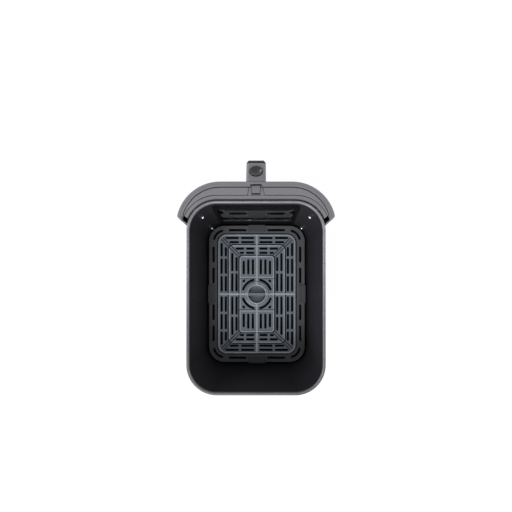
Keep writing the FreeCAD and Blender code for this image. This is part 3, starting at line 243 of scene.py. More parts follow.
pan_coat = Finish("pan_coating", {"IOR": 1.5, "Specular IOR Level": 0.22})
flecks = pan_coat.ramp(pan_coat.noise(1500.0, 2.0), 0.66, 0.76)
wear = pan_coat.ramp(pan_coat.noise(260.0, 4.0), 0.35, 0.65)
rim_share = pan_coat.ramp(pan_coat.axis(2), RIM_LOW, RIM_LOW + RIM_FADE)
sideways = pan_coat.part(pan_coat.facing(), 0) * pan_coat.axis(0) / pan_high.x
lengthways = pan_coat.part(pan_coat.facing(), 1) * pan_coat.axis(1) / pan_high.y
outer = pan_coat.ramp(sideways + lengthways, -0.1, 0.5)
rear = pan_coat.ramp(pan_coat.axis(1), REAR_FADE[0], REAR_FADE[1])
floor_share = pan_coat.ramp(pan_coat.axis(2), FLOOR_HIGH - RIM_FADE, FLOOR_HIGH, 1.0, 0.0)
print("rim from", round(RIM_LOW, 4), "m up, floor to", FLOOR_HIGH)

# %% Colours and gloss of the pan
COAT_BLACK = grey(0.0178, (1.0, 0.98, 1.20))
COAT_FLECK = grey(0.022)
FLOOR_SHADE = grey(0.004)
RIM_TINT = (1.0, 0.98, 1.05)
RIM_GREY = grey(0.245, RIM_TINT)
RIM_WORN = grey(0.200, RIM_TINT)
RIM_SHADE = grey(0.050, RIM_TINT)
OUTER_SHARE = 0.6
FLECK_SHARE = 0.6
RIM_METAL = 0.3
COAT_ROUGH = 0.36
FLOOR_MATT = 0.35

rim_colour = pan_coat.blend(wear, RIM_WORN, RIM_GREY)
# Painted shade: the rim's grey is darker towards the rear, most on its outer side.
rim_rear_shade = rear * (outer * OUTER_SHARE + (1.0 - OUTER_SHARE))
rim_colour = pan_coat.blend(rim_rear_shade, rim_colour, RIM_SHADE)
wall_colour = pan_coat.blend(flecks * FLECK_SHARE, COAT_BLACK, COAT_FLECK)
# Painted shade: the pan's floor under the plate is darker, so the slots look deep.
wall_colour = pan_coat.blend(floor_share, wall_colour, FLOOR_SHADE)
pan_coat.feed("Base Color", pan_coat.blend(rim_share, wall_colour, rim_colour))
pan_coat.feed("Metallic", rim_share * RIM_METAL)
pan_coat.feed("Roughness", pan_coat.noise(45.0, 4.0) * 0.12 + COAT_ROUGH + floor_share * FLOOR_MATT)
pan_coat.feed("Normal", pan_coat.bump(pan_coat.noise(700.0, 2.0), 0.12, 0.0002))
finishes["pan_coating"] = pan_coat.material
print("pan coating nodes", len(pan_coat.tree.nodes))

# %% [markdown]
# The crisper plate is cast aluminium under a grey coat with metal flake in it. It rises in three
# low steps. Its ribs get a painted highlight and some wear from hands and tools, while the
# channels at the foot of each step and beside the diagonal ribs get painted shade. A painter
# would mask these lines: here the distance to the outline of each step, a rounded rectangle,
# gives the mask, in the plate's own place.

# %% Where the plate's steps are
plate_low, plate_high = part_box("crisper_plate")
PLATE_MIDDLE = (plate_low.y + plate_high.y) / 2.0
PLATE_HALF = ((plate_high.x - plate_low.x) / 2.0, (plate_high.y - plate_low.y) / 2.0)
STEP_CORNERS = (0.0170, 0.0100, 0.0065)
STEP_WIDTH = 0.0212
FLANGE = (0.0184, 0.0177)
steps = [(PLATE_HALF[0] - FLANGE[0] - STEP_WIDTH * i, PLATE_HALF[1] - FLANGE[1] - STEP_WIDTH * i, r)
         for i, r in enumerate(STEP_CORNERS)]
print("steps, half width and half length:", [(round(w, 4), round(h, 4)) for w, h, r in steps])

# %% Lines on the plate
LINE = 0.0003
SPINE_HALF = 0.0018
DIAGONAL_END = 0.0040
DIAGONAL_FADE = 0.0005

plate_coat = Finish("plate_coating", {"IOR": 1.5, "Specular IOR Level": 0.22})
across = abs(plate_coat.axis(0))
along = abs(plate_coat.axis(1) - PLATE_MIDDLE)


def outline_distance(half_width, half_length, corner):
    """Distance outside a rounded rectangle, less than zero inside it."""
    x = across - (half_width - corner)
    y = along - (half_length - corner)
    far_x = x.at_least(0.0)
    far_y = y.at_least(0.0)
    return (far_x * far_x + far_y * far_y).root() + x.at_least(y).at_most(0.0) - corner


edges = [outline_distance(*step) for step in steps]
radius = (across * across + along * along).root()
spine = plate_coat.below(across.at_most(along), SPINE_HALF, LINE)
diagonal = abs((across - steps[0][0]) - (along - steps[0][1])) / math.sqrt(2.0)
on_steps = plate_coat.below(edges[0], -DIAGONAL_END, DIAGONAL_FADE)
on_steps = on_steps * plate_coat.above(edges[2], 0.0, LINE)
raised = plate_coat.below(edges[0], 0.0, LINE)
centre = plate_coat.below(edges[2], 0.0, LINE)
print("outlines", len(edges))

# %% Painted shade in the plate's channels
CHANNEL = 0.0027
DIAGONAL_HALF = 0.0012
DIAGONAL_CHANNEL = CHANNEL * 0.8
DIAGONAL_SHADE = 0.9
CROSS_AT = 0.0330
CROSS_HALF = 0.0016
CROSS_CHANNEL = CHANNEL * 0.6
CROSS_SHADE = 0.8

# Painted shade: dark lines at the foot of each step, beside the diagonal ribs and beside the cross rib.
channels = plate_coat.band(edges[0], 0.0, CHANNEL, LINE)
for edge in edges[1:]:
    channels = channels.at_least(plate_coat.band(edge, 0.0, CHANNEL, LINE) * (1.0 - spine))
beside = plate_coat.band(diagonal, DIAGONAL_HALF, DIAGONAL_HALF + DIAGONAL_CHANNEL, LINE)
channels = channels.at_least(beside * on_steps * DIAGONAL_SHADE)
cross_edge = CROSS_AT - CROSS_HALF
beside_cross = plate_coat.band(along, cross_edge - CROSS_CHANNEL, cross_edge, LINE)
channels = channels.at_least(beside_cross * centre * (1.0 - spine) * CROSS_SHADE)
print("channels", CHANNEL, "m wide")

# %% Painted highlight and wear on the plate's ribs
RIB_WIDTH = 0.0024
DIAGONAL_HIGHLIGHT_AND_WEAR = 0.2
CROSS_HIGHLIGHT_AND_WEAR = 0.5
GRIP_RING = (0.0172, 0.0240)
GRIP_LIP = 0.0016

# Painted highlight, with some wear: the spine, each step's outline, the diagonals, the cross rib and the grip's
# lips.
ribs = spine * raised * plate_coat.above(radius, GRIP_RING[0], LINE)
for edge in edges:
    ribs = ribs.at_least(plate_coat.band(edge, -RIB_WIDTH, 0.0, LINE))
crest = plate_coat.below(diagonal, DIAGONAL_HALF, LINE)
ribs = ribs.at_least(crest * on_steps * DIAGONAL_HIGHLIGHT_AND_WEAR)
cross = plate_coat.band(along, cross_edge, CROSS_AT + CROSS_HALF, LINE)
ribs = ribs.at_least(cross * centre * CROSS_HIGHLIGHT_AND_WEAR)
for lip in (GRIP_RING[0], GRIP_RING[1] - GRIP_LIP):
    ribs = ribs.at_least(plate_coat.band(radius, lip, lip + GRIP_LIP, LINE))
print("ribs", RIB_WIDTH, "m wide")

# %% [markdown]
# The masks now pick the colours, from the painted shade in the channels to the painted highlight
# and wear on the ribs. The flake is a fine noise that lightens single grains. Walls of the slots
# and steps face sideways and get painted shade too. A slight bump rounds the edges of the lines,
# whose relief is in the solid.

# %% Colours, flake and gloss of the plate
FLANGE_COLOUR = grey(0.088, (0.96, 1.0, 1.10))
PANEL_COLOUR = grey(0.160, (0.89, 1.0, 1.20))
RIB_HIGHLIGHT_AND_WEAR = grey(0.350, (0.90, 1.0, 1.15))
CHANNEL_SHADE = grey(0.005, (0.9, 1.0, 1.2))
FLAKE_COLOUR = grey(0.36, (0.96, 1.0, 1.06))
FLAKE_SHARE = 0.22
WALL_SHADE = 0.85
PANEL_METAL = 0.35
RIB_METAL = 0.15
PLATE_ROUGH = 0.34
RELIEF = 0.0008

grains = plate_coat.noise(2200.0, 2.0)
cloud = plate_coat.noise(28.0, 3.0)
# A noise breaks up the ribs' painted highlight and wear.
uneven_wear_and_highlight = plate_coat.ramp(plate_coat.noise(160.0, 4.0), 0.25, 0.70, 0.55, 1.0)
tone = plate_coat.blend(raised, FLANGE_COLOUR, PANEL_COLOUR)
tone = plate_coat.blend(ribs * uneven_wear_and_highlight, tone, RIB_HIGHLIGHT_AND_WEAR)
level = abs(plate_coat.part(plate_coat.facing(), 2))
# Painted shade on the walls of the slots and steps, which face sideways.
walls = plate_coat.ramp(level, 0.35, 0.80, 1.0, 0.0) * WALL_SHADE
tone = plate_coat.blend(channels.at_least(walls), tone, CHANNEL_SHADE)
speckle = plate_coat.ramp(grains, 0.40, 0.75) * FLAKE_SHARE
plate_coat.feed("Base Color", plate_coat.blend(speckle * raised, tone, FLAKE_COLOUR))
plate_coat.feed("Metallic", raised * PANEL_METAL + ribs * RIB_METAL)
plate_coat.feed("Roughness", cloud * 0.14 + PLATE_ROUGH - ribs * 0.06)
relief = ribs * 0.6 - channels + grains * 0.10
plate_coat.feed("Normal", plate_coat.bump(relief, 0.5, RELIEF))
finishes["plate_coating"] = plate_coat.material
print("plate coating nodes", len(plate_coat.tree.nodes))

# %% [markdown]
# The front, the covers and the handle are moulded plastic with a fine spark-eroded texture.
# The same recipe with other greys serves the parts inside, the button and the latch, so it is
# a function: a base grey, a little cloudiness, and a texture that breaks up the gloss. The seams
# beside the covers and the handle's nose get painted shade, a matt black, so the front's grey
# and the latch's grey have one more mask for those places. The button's side walls get painted shade too.

# %% Painted shade in the seams and on the nose
cover_low, cover_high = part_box("top_cover_left")
SEAM_DEPTH = 0.0090
SEAM_LOW = cover_low.z - SEAM_DEPTH
SEAM_LIP = 0.0006
SEAM_HIGH = cover_high.z - SEAM_LIP
SEAM_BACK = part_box("latch_housing")[1].y + 0.004
SEAM_END = SEAM_BACK + 0.008
SEAM_FADE = 0.0003
NOSE_EDGE = min((v.co for v in nodes["handle_outer"].data.vertices), key=lambda p: p.y - p.z)
NOSE_REACH = 0.0031
joint_axis = {j["name"]: Vector(j["axis"]) for j in frame["joints"]}
PRESS_AXIS = tuple(joint_axis["button_press"])
SHADE_BLACK = grey(0.006)


def seam_and_nose_shade(finish):
    """Painted shade: one on walls that face the pan inside the seams, and on the handle's nose."""
    inward = finish.ramp(finish.part(finish.facing(), 1), 0.3, 0.6)
    inside = finish.band(finish.axis(2), SEAM_LOW, SEAM_HIGH, SEAM_FADE)
    ahead = finish.ramp(finish.axis(1), SEAM_BACK, SEAM_END, 1.0, 0.0)
    out = finish.axis(1) - NOSE_EDGE.y
    up = finish.axis(2) - NOSE_EDGE.z
    nose = finish.below((out * out + up * up).root(), NOSE_REACH, SEAM_FADE)
    return (inward * inside * ahead).at_least(nose)


# Painted shade on the button's side walls, in their gap.
def button_side_shade(finish):
    """Painted shade: one on the button's side walls, black in their gap."""
    sockets = {0: finish.facing(), 1: PRESS_AXIS}
    lean = finish.node("ShaderNodeVectorMath", {"operation": "DOT_PRODUCT"}, sockets, "Value")
    return finish.ramp(abs(lean), 0.35, 0.75, 1.0, 0.0)


print("nose edge at", tuple(round(c, 4) for c in NOSE_EDGE), "reach", NOSE_REACH)

# %% Moulded plastics
FINE_SHARE = 0.55
GLOSS_SWING = 0.12


def shade(colour, factor):
    return grey(factor, colour[:3])


def moulded(name, colour, spread, roughness, texture, painted_shade=None, shine=0.32):
    finish = Finish(name, {"IOR": 1.46, "Specular IOR Level": shine})
    fine = finish.noise(texture, 2.0)
    broad = finish.noise(35.0, 4.0)
    share = finish.ramp(fine, 0.3, 0.7) * FINE_SHARE + broad * (1.0 - FINE_SHARE)
    tone = finish.blend(share, shade(colour, 1.0 - spread), shade(colour, 1.0 + spread))
    finish.feed("Base Color", tone)
    finish.feed("Roughness", broad * GLOSS_SWING + (roughness - GLOSS_SWING / 2.0))
    finish.feed("Normal", finish.bump(fine, 0.16, 0.00012))
    # Where a painted shade mask is given, a matt black lies over the finish there.
    if painted_shade:
        finish.cover(painted_shade(finish), SHADE_BLACK)
    finishes[name] = finish.material
    print(name, "grey", round(colour[1], 3))


# Painted shade: the front and the latch are black in the seams and on the nose, the button on its side walls.
moulded("shell_grey", grey(0.196, (1.0, 0.975, 1.06)), 0.14, 0.46, 1600.0, seam_and_nose_shade)
moulded("inner_grey", grey(0.195, (1.0, 0.98, 1.05)), 0.15, 0.50, 1300.0)
moulded("latch_grey", grey(0.145, (1.0, 0.985, 1.04)), 0.12, 0.40, 1500.0, seam_and_nose_shade)
moulded("button_dark", grey(0.014, (1.0, 0.98, 1.10)), 0.15, 0.17, 1800.0, button_side_shade, shine=0.5)
moulded("silicone", grey(0.058, (0.95, 1.0, 1.10)), 0.22, 0.62, 900.0)
moulded("black_trim", grey(0.006), 0.20, 0.42, 700.0, shine=0.10)

# %% [markdown]
# Screws, nuts, the bracket and the springs are bare or plated steel. A turned or rolled surface
# has streaks, so the roughness comes from a noise that is stretched along one direction.

# %% Metals
STRETCH = (1.0, 1.0, 0.12)
STREAK_DARK = 0.82
STREAK_SWING = 0.16


def metal(name, colour, roughness):
    finish = Finish(name, {"Metallic": 1.0})
    streaks = finish.node("ShaderNodeMapping", {}, {"Vector": finish.place, "Scale": STRETCH})
    brushed = finish.noise(2600.0, 3.0, streaks)
    finish.feed("Base Color", finish.blend(brushed, shade(colour, STREAK_DARK), colour))
    finish.feed("Roughness", brushed * STREAK_SWING + (roughness - STREAK_SWING / 2.0))
    finish.feed("Normal", finish.bump(brushed, 0.06, 0.0001))
    finishes[name] = finish.material
    print(name, "roughness about", roughness)


metal("stainless", grey(0.82), 0.24)
metal("zinc_steel", grey(0.62, (1.0, 0.99, 0.95)), 0.36)
metal("spring_steel", grey(0.50), 0.28)

# %% [markdown]
# Tempered glass has a slight cold tint and a few smears of cooking film, which dull its gloss and
# take away a little of the tint. A heat-reflecting coat makes the pane a partial mirror, so it
# shows the plate's front slots when seen from above. The shader's own transmission does the rest.

# %% Glass
GLASS_TINT = (0.42, 0.46, 0.48, 1.0)
FILM_TINT = grey(0.42)
FILM_SHARE = 0.4
FILM_ROUGH = 0.03
GLASS_ROUGH = 0.008
MIRROR_COAT = {"Coat Weight": 1.0, "Coat IOR": 3.1, "Coat Roughness": 0.01}
glass = Finish("glass", {"Transmission Weight": 1.0, "IOR": 1.5, **MIRROR_COAT})
film = glass.ramp(glass.noise(60.0, 5.0), 0.45, 0.75)
glass.feed("Base Color", glass.blend(film * FILM_SHARE, GLASS_TINT, FILM_TINT))
glass.feed("Roughness", film * FILM_ROUGH + GLASS_ROUGH)
finishes["glass"] = glass.material
print("glass made, coat index", MIRROR_COAT["Coat IOR"])

# %% [markdown]
# The solids arrive as loose triangles, which would show their facets on the big round corners.
# A copy of each is merged into one skin, the edges that are really sharp are marked, and the
# normals are weighted by area, so that flat faces stay flat beside their rounded edges.

# %% Smooth skins over the solids
MERGE = 1.5e-6
SHARP_ANGLE = math.radians(38.0)


def merged_copy(name):
    mesh = nodes[name].data.copy()
    mesh.name = "skin_" + name
    work = bmesh.new()
    work.from_mesh(mesh)
    bmesh.ops.remove_doubles(work, verts=work.verts, dist=MERGE)
    work.to_mesh(mesh)
    work.free()
    for spare in [a.name for a in mesh.attributes if a.name == "custom_normal"]:
        mesh.attributes.remove(mesh.attributes[spare])
    return mesh


def as_plain_mesh(obj, name):
    """The evaluated object as a mesh of its own, with no modifiers left."""
    bpy.context.view_layer.update()
    graph = bpy.context.evaluated_depsgraph_get()
    mesh = bpy.data.meshes.new_from_object(obj.evaluated_get(graph), depsgraph=graph)
    mesh.name = name
    obj.modifiers.clear()
    obj.data = mesh
    return obj


def hand_over(piece, name):
    """The piece stands for one node: it rides on that node's body, with its slot and finish."""
    piece.data.materials.clear()
    piece.data.materials.append(finishes[slot_of[name]])
    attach(piece, body_of[name])
    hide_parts(name)


def skin(name):
    mesh = merged_copy(name)
    mesh.shade_smooth()
    mesh.set_sharp_from_angle(angle=SHARP_ANGLE)
    piece = add_object("skin_" + name, mesh)
    weighted = piece.modifiers.new("weighted", "WEIGHTED_NORMAL")
    weighted.keep_sharp = True
    as_plain_mesh(piece, "skin_" + name)
    hand_over(piece, name)
    return piece


HARDWARE = ("pan_screws", "carrier_screws", "lower_cover_screws", "handle_screws", "handle_fix_screws",
            "guide_screws", "latch_screws", "button_spring", "latch_spring")
skins = [skin(name) for name in sorted(nodes) if name not in HARDWARE]
print("skins", len(skins), "triangles", sum(len(s.data.polygons) for s in skins))

# %% [markdown]
# Screws repeat, so one screw is turned on a lathe as a mesh, and a Geometry Nodes tree puts a
# copy on each seat. The seats are read from the solids: each separate solid of a screw node
# gives its axis, and the widest end is its head.

# %% Where the screws sit
FLAT_MATCH = 0.98
HEAD_EDGE = 0.97
TIP_DEPTH = 0.0002


def islands(mesh):
    """Points and facets, each a normal with its area, of each separate solid, in the mesh's order."""
    work = bmesh.new()
    work.from_mesh(mesh)
    seen = set()
    groups = []
    for start in work.verts:
        if start in seen:
            continue
        seen.add(start)
        found = [start]
        for vert in found:
            for edge in vert.link_edges:
                other = edge.other_vert(vert)
                if other not in seen:
                    seen.add(other)
                    found.append(other)
        faces = dict.fromkeys(face for vert in found for face in vert.link_faces)
        facets = [(face.normal.copy(), face.calc_area()) for face in faces]
        groups.append(([vert.co.copy() for vert in found], facets))
    work.free()
    return groups


def flat_axis(facets):
    """Direction that the most flat area faces: a screw's tip and seat lie across its axis."""
    facing = {}
    for normal, area in facets:
        first = next(c for c in normal if abs(c) > 0.1)
        key = tuple(round(math.copysign(c, c * first), 1) for c in normal)
        facing[key] = facing.get(key, 0.0) + area
    rough = Vector(max(facing, key=facing.get)).normalized()
    near = [(n, area) for n, area in facets if abs(n.dot(rough)) > FLAT_MATCH]
    return sum((n * math.copysign(area, n.dot(rough)) for n, area in near), Vector()).normalized()


def screw_seat(points, facets):
    """Tip of the shank, direction to the head, and the sizes of head and shank."""
    middle = sum(points, Vector()) / len(points)
    axis = flat_axis(facets)
    rows = [((p - middle).dot(axis), (p - middle)) for p in points]
    reach = [(along, (off - axis * along).length) for along, off in rows]
    widest = max(r for along, r in reach)
    ends = [along for along, r in reach]
    rim = [along for along, r in reach if r > widest * HEAD_EDGE]
    if sum(rim) / len(rim) < (min(ends) + max(ends)) / 2.0:
        axis = -axis
        reach = [(-along, r) for along, r in reach]
        rim = [-along for along in rim]
    low = min(along for along, r in reach)
    high = max(along for along, r in reach)
    shank = max(r for along, r in reach if along < low + TIP_DEPTH)
    sizes = {"head": widest, "seat": min(rim) - low, "top": high - low, "shank": shank}
    return middle + axis * low, axis, sizes


screw_seats = {}
for name in HARDWARE:
    if name.endswith("screws"):
        screw_seats[name] = [screw_seat(*group) for group in islands(merged_copy(name))]
        first = screw_seats[name][0][2]
        print(name, len(screw_seats[name]), {k: round(v * 1000, 2) for k, v in first.items()})

# %% [markdown]
# The lathe turns one outline: a blunt tip, a shank with thread crests, and a domed head. The
# cross recess is cut with a boolean, as a punch makes it on the real screw.

# %% A screw on the lathe
TURN_STEPS = 28
TURN_MERGE = 1e-7
THREAD_PITCH = 0.0008
THREAD_DEPTH = 0.10
THREADED = 0.75
TIP_WIDTH = 0.8
HEAD_FOOT = 0.96
HEAD_SKIRT = 0.12
DOME_FROM = 0.25
DOME_STEPS = 6


def screw_outline(sizes):
    head, seat, top, shank = (sizes[k] for k in ("head", "seat", "top", "shank"))
    core = shank * (1.0 - THREAD_DEPTH)
    outline = [(0.0, 0.0), (core * TIP_WIDTH, 0.0)]
    turns = int(seat * THREADED / THREAD_PITCH)
    for i in range(turns):
        outline.append((core, THREAD_PITCH * (i + 0.5)))
        outline.append((shank, THREAD_PITCH * (i + 1.0)))
    outline.append((core, THREAD_PITCH * (turns + 0.5)))
    outline.append((core, seat))
    outline.append((head * HEAD_FOOT, seat))
    outline.append((head, seat + (top - seat) * HEAD_SKIRT))
    for i in range(1, DOME_STEPS + 1):
        angle = math.radians(90.0 / DOME_STEPS * i)
        rise = DOME_FROM + (1.0 - DOME_FROM) * math.sin(angle)
        outline.append((head * math.cos(angle), seat + (top - seat) * rise))
    return outline


def closed_mesh(work, name):
    """The work as a mesh whose normals point outwards."""
    bmesh.ops.recalc_face_normals(work, faces=work.faces)
    mesh = bpy.data.meshes.new(name)
    work.to_mesh(mesh)
    work.free()
    return mesh


def lathe(outline, name):
    work = bmesh.new()
    verts = [work.verts.new((x, 0.0, z)) for x, z in outline]
    edges = [work.edges.new(pair) for pair in zip(verts, verts[1:])]
    bmesh.ops.spin(work, geom=verts + edges, axis=(0, 0, 1), cent=(0, 0, 0), steps=TURN_STEPS,
                   angle=2.0 * math.pi)
    bmesh.ops.remove_doubles(work, verts=work.verts, dist=TURN_MERGE)
    return closed_mesh(work, name)


print("thread pitch", THREAD_PITCH * 1000, "mm, turned in", TURN_STEPS, "steps")

# %% The cross recess
RECESS_HALF = 0.17
RECESS_REACH = 0.56
RECESS_FLOOR = 0.40
RECESS_TAPER = 0.7


def cross_punch(sizes):
    """One tapered cross over the head's middle, a single closed body that never meets itself."""
    head, seat, top = sizes["head"], sizes["seat"], sizes["top"]
    floor = seat + (top - seat) * RECESS_FLOOR
    arm = [Vector((x, y, 0.0)) for x, y in ((RECESS_REACH, -RECESS_HALF), (RECESS_REACH, RECESS_HALF),
                                            (RECESS_HALF, RECESS_HALF))]
    turns = [Matrix.Rotation(math.radians(90.0 * k), 3, "Z") for k in range(4)]
    corners = [turn @ corner * head for turn in turns for corner in arm]
    work = bmesh.new()
    rings = []
    for taper, z in ((RECESS_TAPER, floor), (1.0, top + head)):
        rings.append([work.verts.new((c.x * taper, c.y * taper, z)) for c in corners])
        work.faces.new(rings[-1])
    for i in range(len(corners)):
        work.faces.new((rings[0][i - 1], rings[0][i], rings[1][i], rings[1][i - 1]))
    return closed_mesh(work, "cross_punch")


def one_screw(name, sizes):
    screw = add_object(name, lathe(screw_outline(sizes), name))
    punch = add_object("cross_punch", cross_punch(sizes))
    cut = screw.modifiers.new("cross", "BOOLEAN")
    cut.operation = "DIFFERENCE"
    cut.solver = "EXACT"
    cut.object = punch
    as_plain_mesh(screw, name)
    bpy.data.objects.remove(punch)
    screw.data.shade_smooth()
    screw.data.set_sharp_from_angle(angle=SHARP_ANGLE)
    return screw


print("recess as wide as", RECESS_REACH, "of the head")

# %% [markdown]
# The tree takes a mesh whose points are the seats, each with its direction, and places the
# screw there. A seeded turn about its own axis leaves each recess at its own angle, as a
# driver does.


# %% Helpers for the trees
def tree_of(name, inputs):
    """A Geometry Nodes group with named inputs and one geometry output."""
    tree = bpy.data.node_groups.new(name, "GeometryNodeTree")
    for label, kind in inputs:
        tree.interface.new_socket(name=label, in_out="INPUT", socket_type=kind)
    tree.interface.new_socket(name="Geometry", in_out="OUTPUT", socket_type="NodeSocketGeometry")
    return tree, tree.nodes.new("NodeGroupInput"), tree.nodes.new("NodeGroupOutput")


def link(tree, source, out, target, into):
    tree.links.new(source.outputs[out], target.inputs[into])


def set_inputs(modifier, values):
    for item in modifier.node_group.interface.items_tree:
        if item.in_out == "INPUT" and item.name in values:
            modifier[item.identifier] = values[item.name]


def close_tree(tree, entry, source, out, leave):
    """What source makes becomes a real mesh with the finish of the group's input."""
    real = tree.nodes.new("GeometryNodeRealizeInstances")
    finish = tree.nodes.new("GeometryNodeSetMaterial")
    link(tree, source, out, real, "Geometry")
    link(tree, real, "Geometry", finish, "Geometry")
    link(tree, entry, "Finish", finish, "Material")
    link(tree, finish, "Geometry", leave, "Geometry")


TREE_FINISH = ("Finish", "NodeSocketMaterial")
print("both trees take the input", TREE_FINISH[0])

# %% The tree that sets the screws
MOST_TURN = 1.5


def screw_tree():
    inputs = [("Geometry", "NodeSocketGeometry"), ("Screw", "NodeSocketObject"), ("Seed", "NodeSocketInt")]
    tree, entry, leave = tree_of("set_screws", inputs + [TREE_FINISH])
    screw = tree.nodes.new("GeometryNodeObjectInfo")
    aim = tree.nodes.new("GeometryNodeInputNamedAttribute")
    aim.data_type = "FLOAT_VECTOR"
    aim.inputs["Name"].default_value = "aim"
    align = tree.nodes.new("FunctionNodeAlignRotationToVector")
    align.axis = "Z"
    spread = tree.nodes.new("GeometryNodeInstanceOnPoints")
    angle = tree.nodes.new("FunctionNodeRandomValue")
    angle.data_type = "FLOAT"
    angle.inputs["Max"].default_value = MOST_TURN
    about = tree.nodes.new("ShaderNodeCombineXYZ")
    spin = tree.nodes.new("GeometryNodeRotateInstances")
    link(tree, entry, "Screw", screw, "Object")
    link(tree, aim, "Attribute", align, "Vector")
    link(tree, entry, "Geometry", spread, "Points")
    link(tree, screw, "Geometry", spread, "Instance")
    link(tree, align, "Rotation", spread, "Rotation")
    link(tree, entry, "Seed", angle, "Seed")
    link(tree, angle, 1, about, "Z")
    link(tree, spread, "Instances", spin, "Instances")
    link(tree, about, "Vector", spin, "Rotation")
    close_tree(tree, entry, spin, "Instances", leave)
    return tree


SET_SCREWS = screw_tree()
print("screw tree nodes", len(SET_SCREWS.nodes))

# %% Set all screws
SCREW_SEED = 7


def set_screws(name):
    seats = screw_seats[name]
    screw = one_screw("one_" + name, seats[0][2])
    points = bpy.data.meshes.new("seats_" + name)
    points.from_pydata([tip for tip, axis, sizes in seats], [], [])
    aims = points.attributes.new("aim", "FLOAT_VECTOR", "POINT")
    for i, (tip, axis, sizes) in enumerate(seats):
        aims.data[i].vector = axis
    piece = add_object("set_" + name, points)
    modifier = piece.modifiers.new("set_screws", "NODES")
    modifier.node_group = SET_SCREWS
    set_inputs(modifier, {"Screw": screw, "Seed": SCREW_SEED, "Finish": finishes[slot_of[name]]})
    as_plain_mesh(piece, "set_" + name)
    bpy.data.objects.remove(screw)
    hand_over(piece, name)
    print(piece.name, "triangles about", sum(len(p.vertices) - 2 for p in piece.data.polygons))


for name in sorted(screw_seats):
    set_screws(name)

# %% [markdown]
# A compression spring is a wire along a rising spiral, so the tree draws the spiral and sweeps
# a round wire on it. Its sizes and place come from the solid's box and axis.

# %% The tree that winds a spring
COIL_STEPS = 32
WIRE_SIDES = 12


def spring_tree():
    inputs = [(label, "NodeSocketFloat") for label in ("Coil Radius", "Wire Radius", "Height", "Turns")]
    tree, entry, leave = tree_of("wind_spring", inputs + [TREE_FINISH])
    spiral = tree.nodes.new("GeometryNodeCurveSpiral")
    spiral.inputs["Resolution"].default_value = COIL_STEPS
    wire = tree.nodes.new("GeometryNodeCurvePrimitiveCircle")
    wire.inputs["Resolution"].default_value = WIRE_SIDES
    sweep = tree.nodes.new("GeometryNodeCurveToMesh")
    sweep.inputs["Fill Caps"].default_value = True
    link(tree, entry, "Turns", spiral, "Rotations")
    link(tree, entry, "Coil Radius", spiral, "Start Radius")
    link(tree, entry, "Coil Radius", spiral, "End Radius")
    link(tree, entry, "Height", spiral, "Height")
    link(tree, entry, "Wire Radius", wire, "Radius")
    link(tree, spiral, "Curve", sweep, "Curve")
    link(tree, wire, "Curve", sweep, "Profile Curve")
    close_tree(tree, entry, sweep, "Mesh", leave)
    return tree


WIND_SPRING = spring_tree()
print("spring tree nodes", len(WIND_SPRING.nodes))

# %% Two springs
joint_range = {j["name"]: j["range_m"][1] for j in frame["joints"]}


def wind_spring(name, joint, wire, turns):
    press = joint_axis[joint].normalized()
    points = [v.co.copy() for v in nodes[name].data.vertices]
    middle = (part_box(name)[0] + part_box(name)[1]) / 2.0
    along = [(p - middle).dot(press) for p in points]
    far = max(along)
    length = far - min(along)
    radius = max(((p - middle) - press * (p - middle).dot(press)).length for p in points) - wire / 2.0
    foot = middle + press * far
    piece = add_object("wound_" + name, bpy.data.meshes.new("wound_" + name))
    modifier = piece.modifiers.new("wind_spring", "NODES")
    modifier.node_group = WIND_SPRING
    set_inputs(modifier, {"Coil Radius": radius, "Wire Radius": wire / 2.0, "Height": length - wire,
                          "Turns": float(turns), "Finish": finishes[slot_of[name]]})
    as_plain_mesh(piece, "wound_" + name)
    stand = (-press).to_track_quat("Z", "Y").to_matrix().to_4x4()
    piece.data.transform(Matrix.Translation(foot - press * wire / 2.0) @ stand)
    piece.data.shade_smooth()
    hand_over(piece, name)
    1.0 - joint_range[joint] / length
    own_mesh(piece)
    print(piece.name, "length", round(length * 1000, 2), "mm, coil radius", round(radius * 1000, 2), "mm")


wind_spring("button_spring", "button_press", wire=0.0007, turns=3)
wind_spring("latch_spring", "latch_drop", wire=0.0008, turns=6)

# %% [markdown]
# The drawer lies on a plain white surface. The floor keeps a soft shadow: part of its
# brightness comes from the lamps. To the camera, and in mirror surfaces, the rest is an even
# white, so that the ground reads as paper white without more light on the drawer. Seen from
# beneath, the floor is clear, so that the underside can be looked at.


# %% Floor
def seen_directly(tree):
    """One for rays that show the background: from the camera, in gloss and through glass."""
    path = tree.nodes.new("ShaderNodeLightPath")
    first = tree.nodes.new("ShaderNodeMath")
    first.operation = "MAXIMUM"
    second = tree.nodes.new("ShaderNodeMath")
    second.operation = "MAXIMUM"
    link(tree, path, "Is Camera Ray", first, 0)
    link(tree, path, "Is Glossy Ray", first, 1)
    link(tree, first, 0, second, 0)
    link(tree, path, "Is Transmission Ray", second, 1)
    return second


FLOOR_HALF = 6.0
FLOOR_DROP = 0.0004

floor_mesh = bpy.data.meshes.new("floor")
corners = [(x * FLOOR_HALF, y * FLOOR_HALF, -FLOOR_DROP) for x, y in ((-1, -1), (1, -1), (1, 1), (-1, 1))]
floor_mesh.from_pydata(corners, [], [(0, 1, 2, 3)])
floor = add_object("floor", floor_mesh)
print("floor", 2 * FLOOR_HALF, "m wide")

# %% Paper white
FLOOR_WHITE = 0.86
PAPER_ROUGH = 0.9
PAPER_SHARE = 0.88
PAPER_WHITE = 1.06

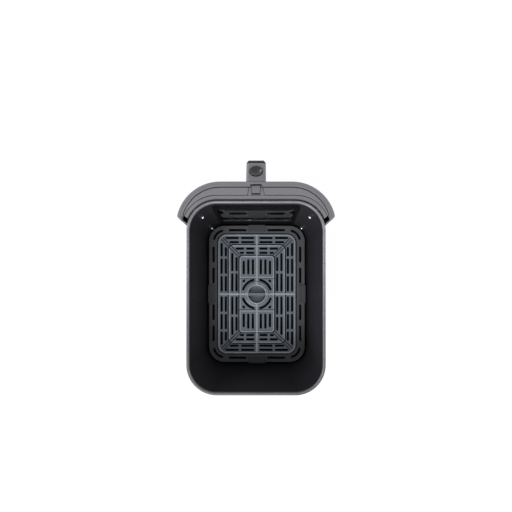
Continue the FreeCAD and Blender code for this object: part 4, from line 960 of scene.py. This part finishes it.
paper = bpy.data.materials.new("paper")
paper.use_nodes = True
paper_tree = paper.node_tree
lit = paper_tree.nodes["Principled BSDF"]
lit.inputs["Base Color"].default_value = grey(FLOOR_WHITE)
lit.inputs["Roughness"].default_value = PAPER_ROUGH
glow = paper_tree.nodes.new("ShaderNodeEmission")
glow.inputs["Strength"].default_value = PAPER_WHITE
share = paper_tree.nodes.new("ShaderNodeMath")
share.operation = "MULTIPLY"
share.inputs[1].default_value = PAPER_SHARE
mixed = paper_tree.nodes.new("ShaderNodeMixShader")
link(paper_tree, seen_directly(paper_tree), 0, share, 0)
for place, source in enumerate((share, lit, glow)):
    link(paper_tree, source, 0, mixed, place)
side = paper_tree.nodes.new("ShaderNodeNewGeometry")
clear = paper_tree.nodes.new("ShaderNodeBsdfTransparent")
sided = paper_tree.nodes.new("ShaderNodeMixShader")
link(paper_tree, side, "Backfacing", sided, 0)
link(paper_tree, mixed, 0, sided, 1)
link(paper_tree, clear, 0, sided, 2)
link(paper_tree, sided, 0, paper_tree.nodes["Material Output"], "Surface")
floor_mesh.materials.append(paper)
print("paper nodes", len(paper_tree.nodes))

# %% [markdown]
# The light is a large soft lamp above and behind, a little to one side, so that the sloping top
# of the handle is darker than the flat covers. Two weak lamps at the sides catch the bevels, two
# small ones in front shine in the button's dish, and an even white room fills the shadows.

# %% Lamps
AIM = Vector((0.0, 0.0, 0.05))
# Each row is a name, a place, a width in metres and a power in watts.
LAMPS = (("soft_lamp", (0.50, 1.30, 1.25), 0.9, 26.0),
         ("side_lamp_left", (1.30, -0.10, 0.60), 0.7, 10.0),
         ("side_lamp_right", (-1.30, -0.10, 0.60), 0.7, 7.0),
         ("front_lamp_left", (0.63, -1.17, 0.48), 0.40, 2.0),
         ("front_lamp_right", (-0.80, -1.10, 0.40), 0.30, 0.8))

for name, place, size, watts in LAMPS:
    lamp_data = bpy.data.lights.new(name, "AREA")
    lamp_data.shape = "SQUARE"
    lamp_data.size = size
    lamp_data.energy = watts
    lamp = add_object(name, lamp_data)
    lamp.location = place
    lamp.rotation_euler = (AIM - Vector(place)).to_track_quat("-Z", "Y").to_euler()
print("lamps", len(LAMPS), "with", sum(row[3] for row in LAMPS), "W")

# %% Room
ROOM_FILL = 0.30
ROOM_WHITE = 1.0

room = bpy.data.worlds.new("room")
room.use_nodes = True
bpy.context.scene.world = room
room_tree = room.node_tree
fill = room_tree.nodes["Background"]
backdrop = room_tree.nodes.new("ShaderNodeBackground")
for light, strength in ((fill, ROOM_FILL), (backdrop, ROOM_WHITE)):
    light.inputs["Color"].default_value = grey(1.0)
    light.inputs["Strength"].default_value = strength
choice = room_tree.nodes.new("ShaderNodeMixShader")
for place, source in enumerate((seen_directly(room_tree), fill, backdrop)):
    link(room_tree, source, 0, choice, place)
link(room_tree, choice, 0, room_tree.nodes["World Output"], "Surface")
print("room fill", ROOM_FILL)

# %% [markdown]
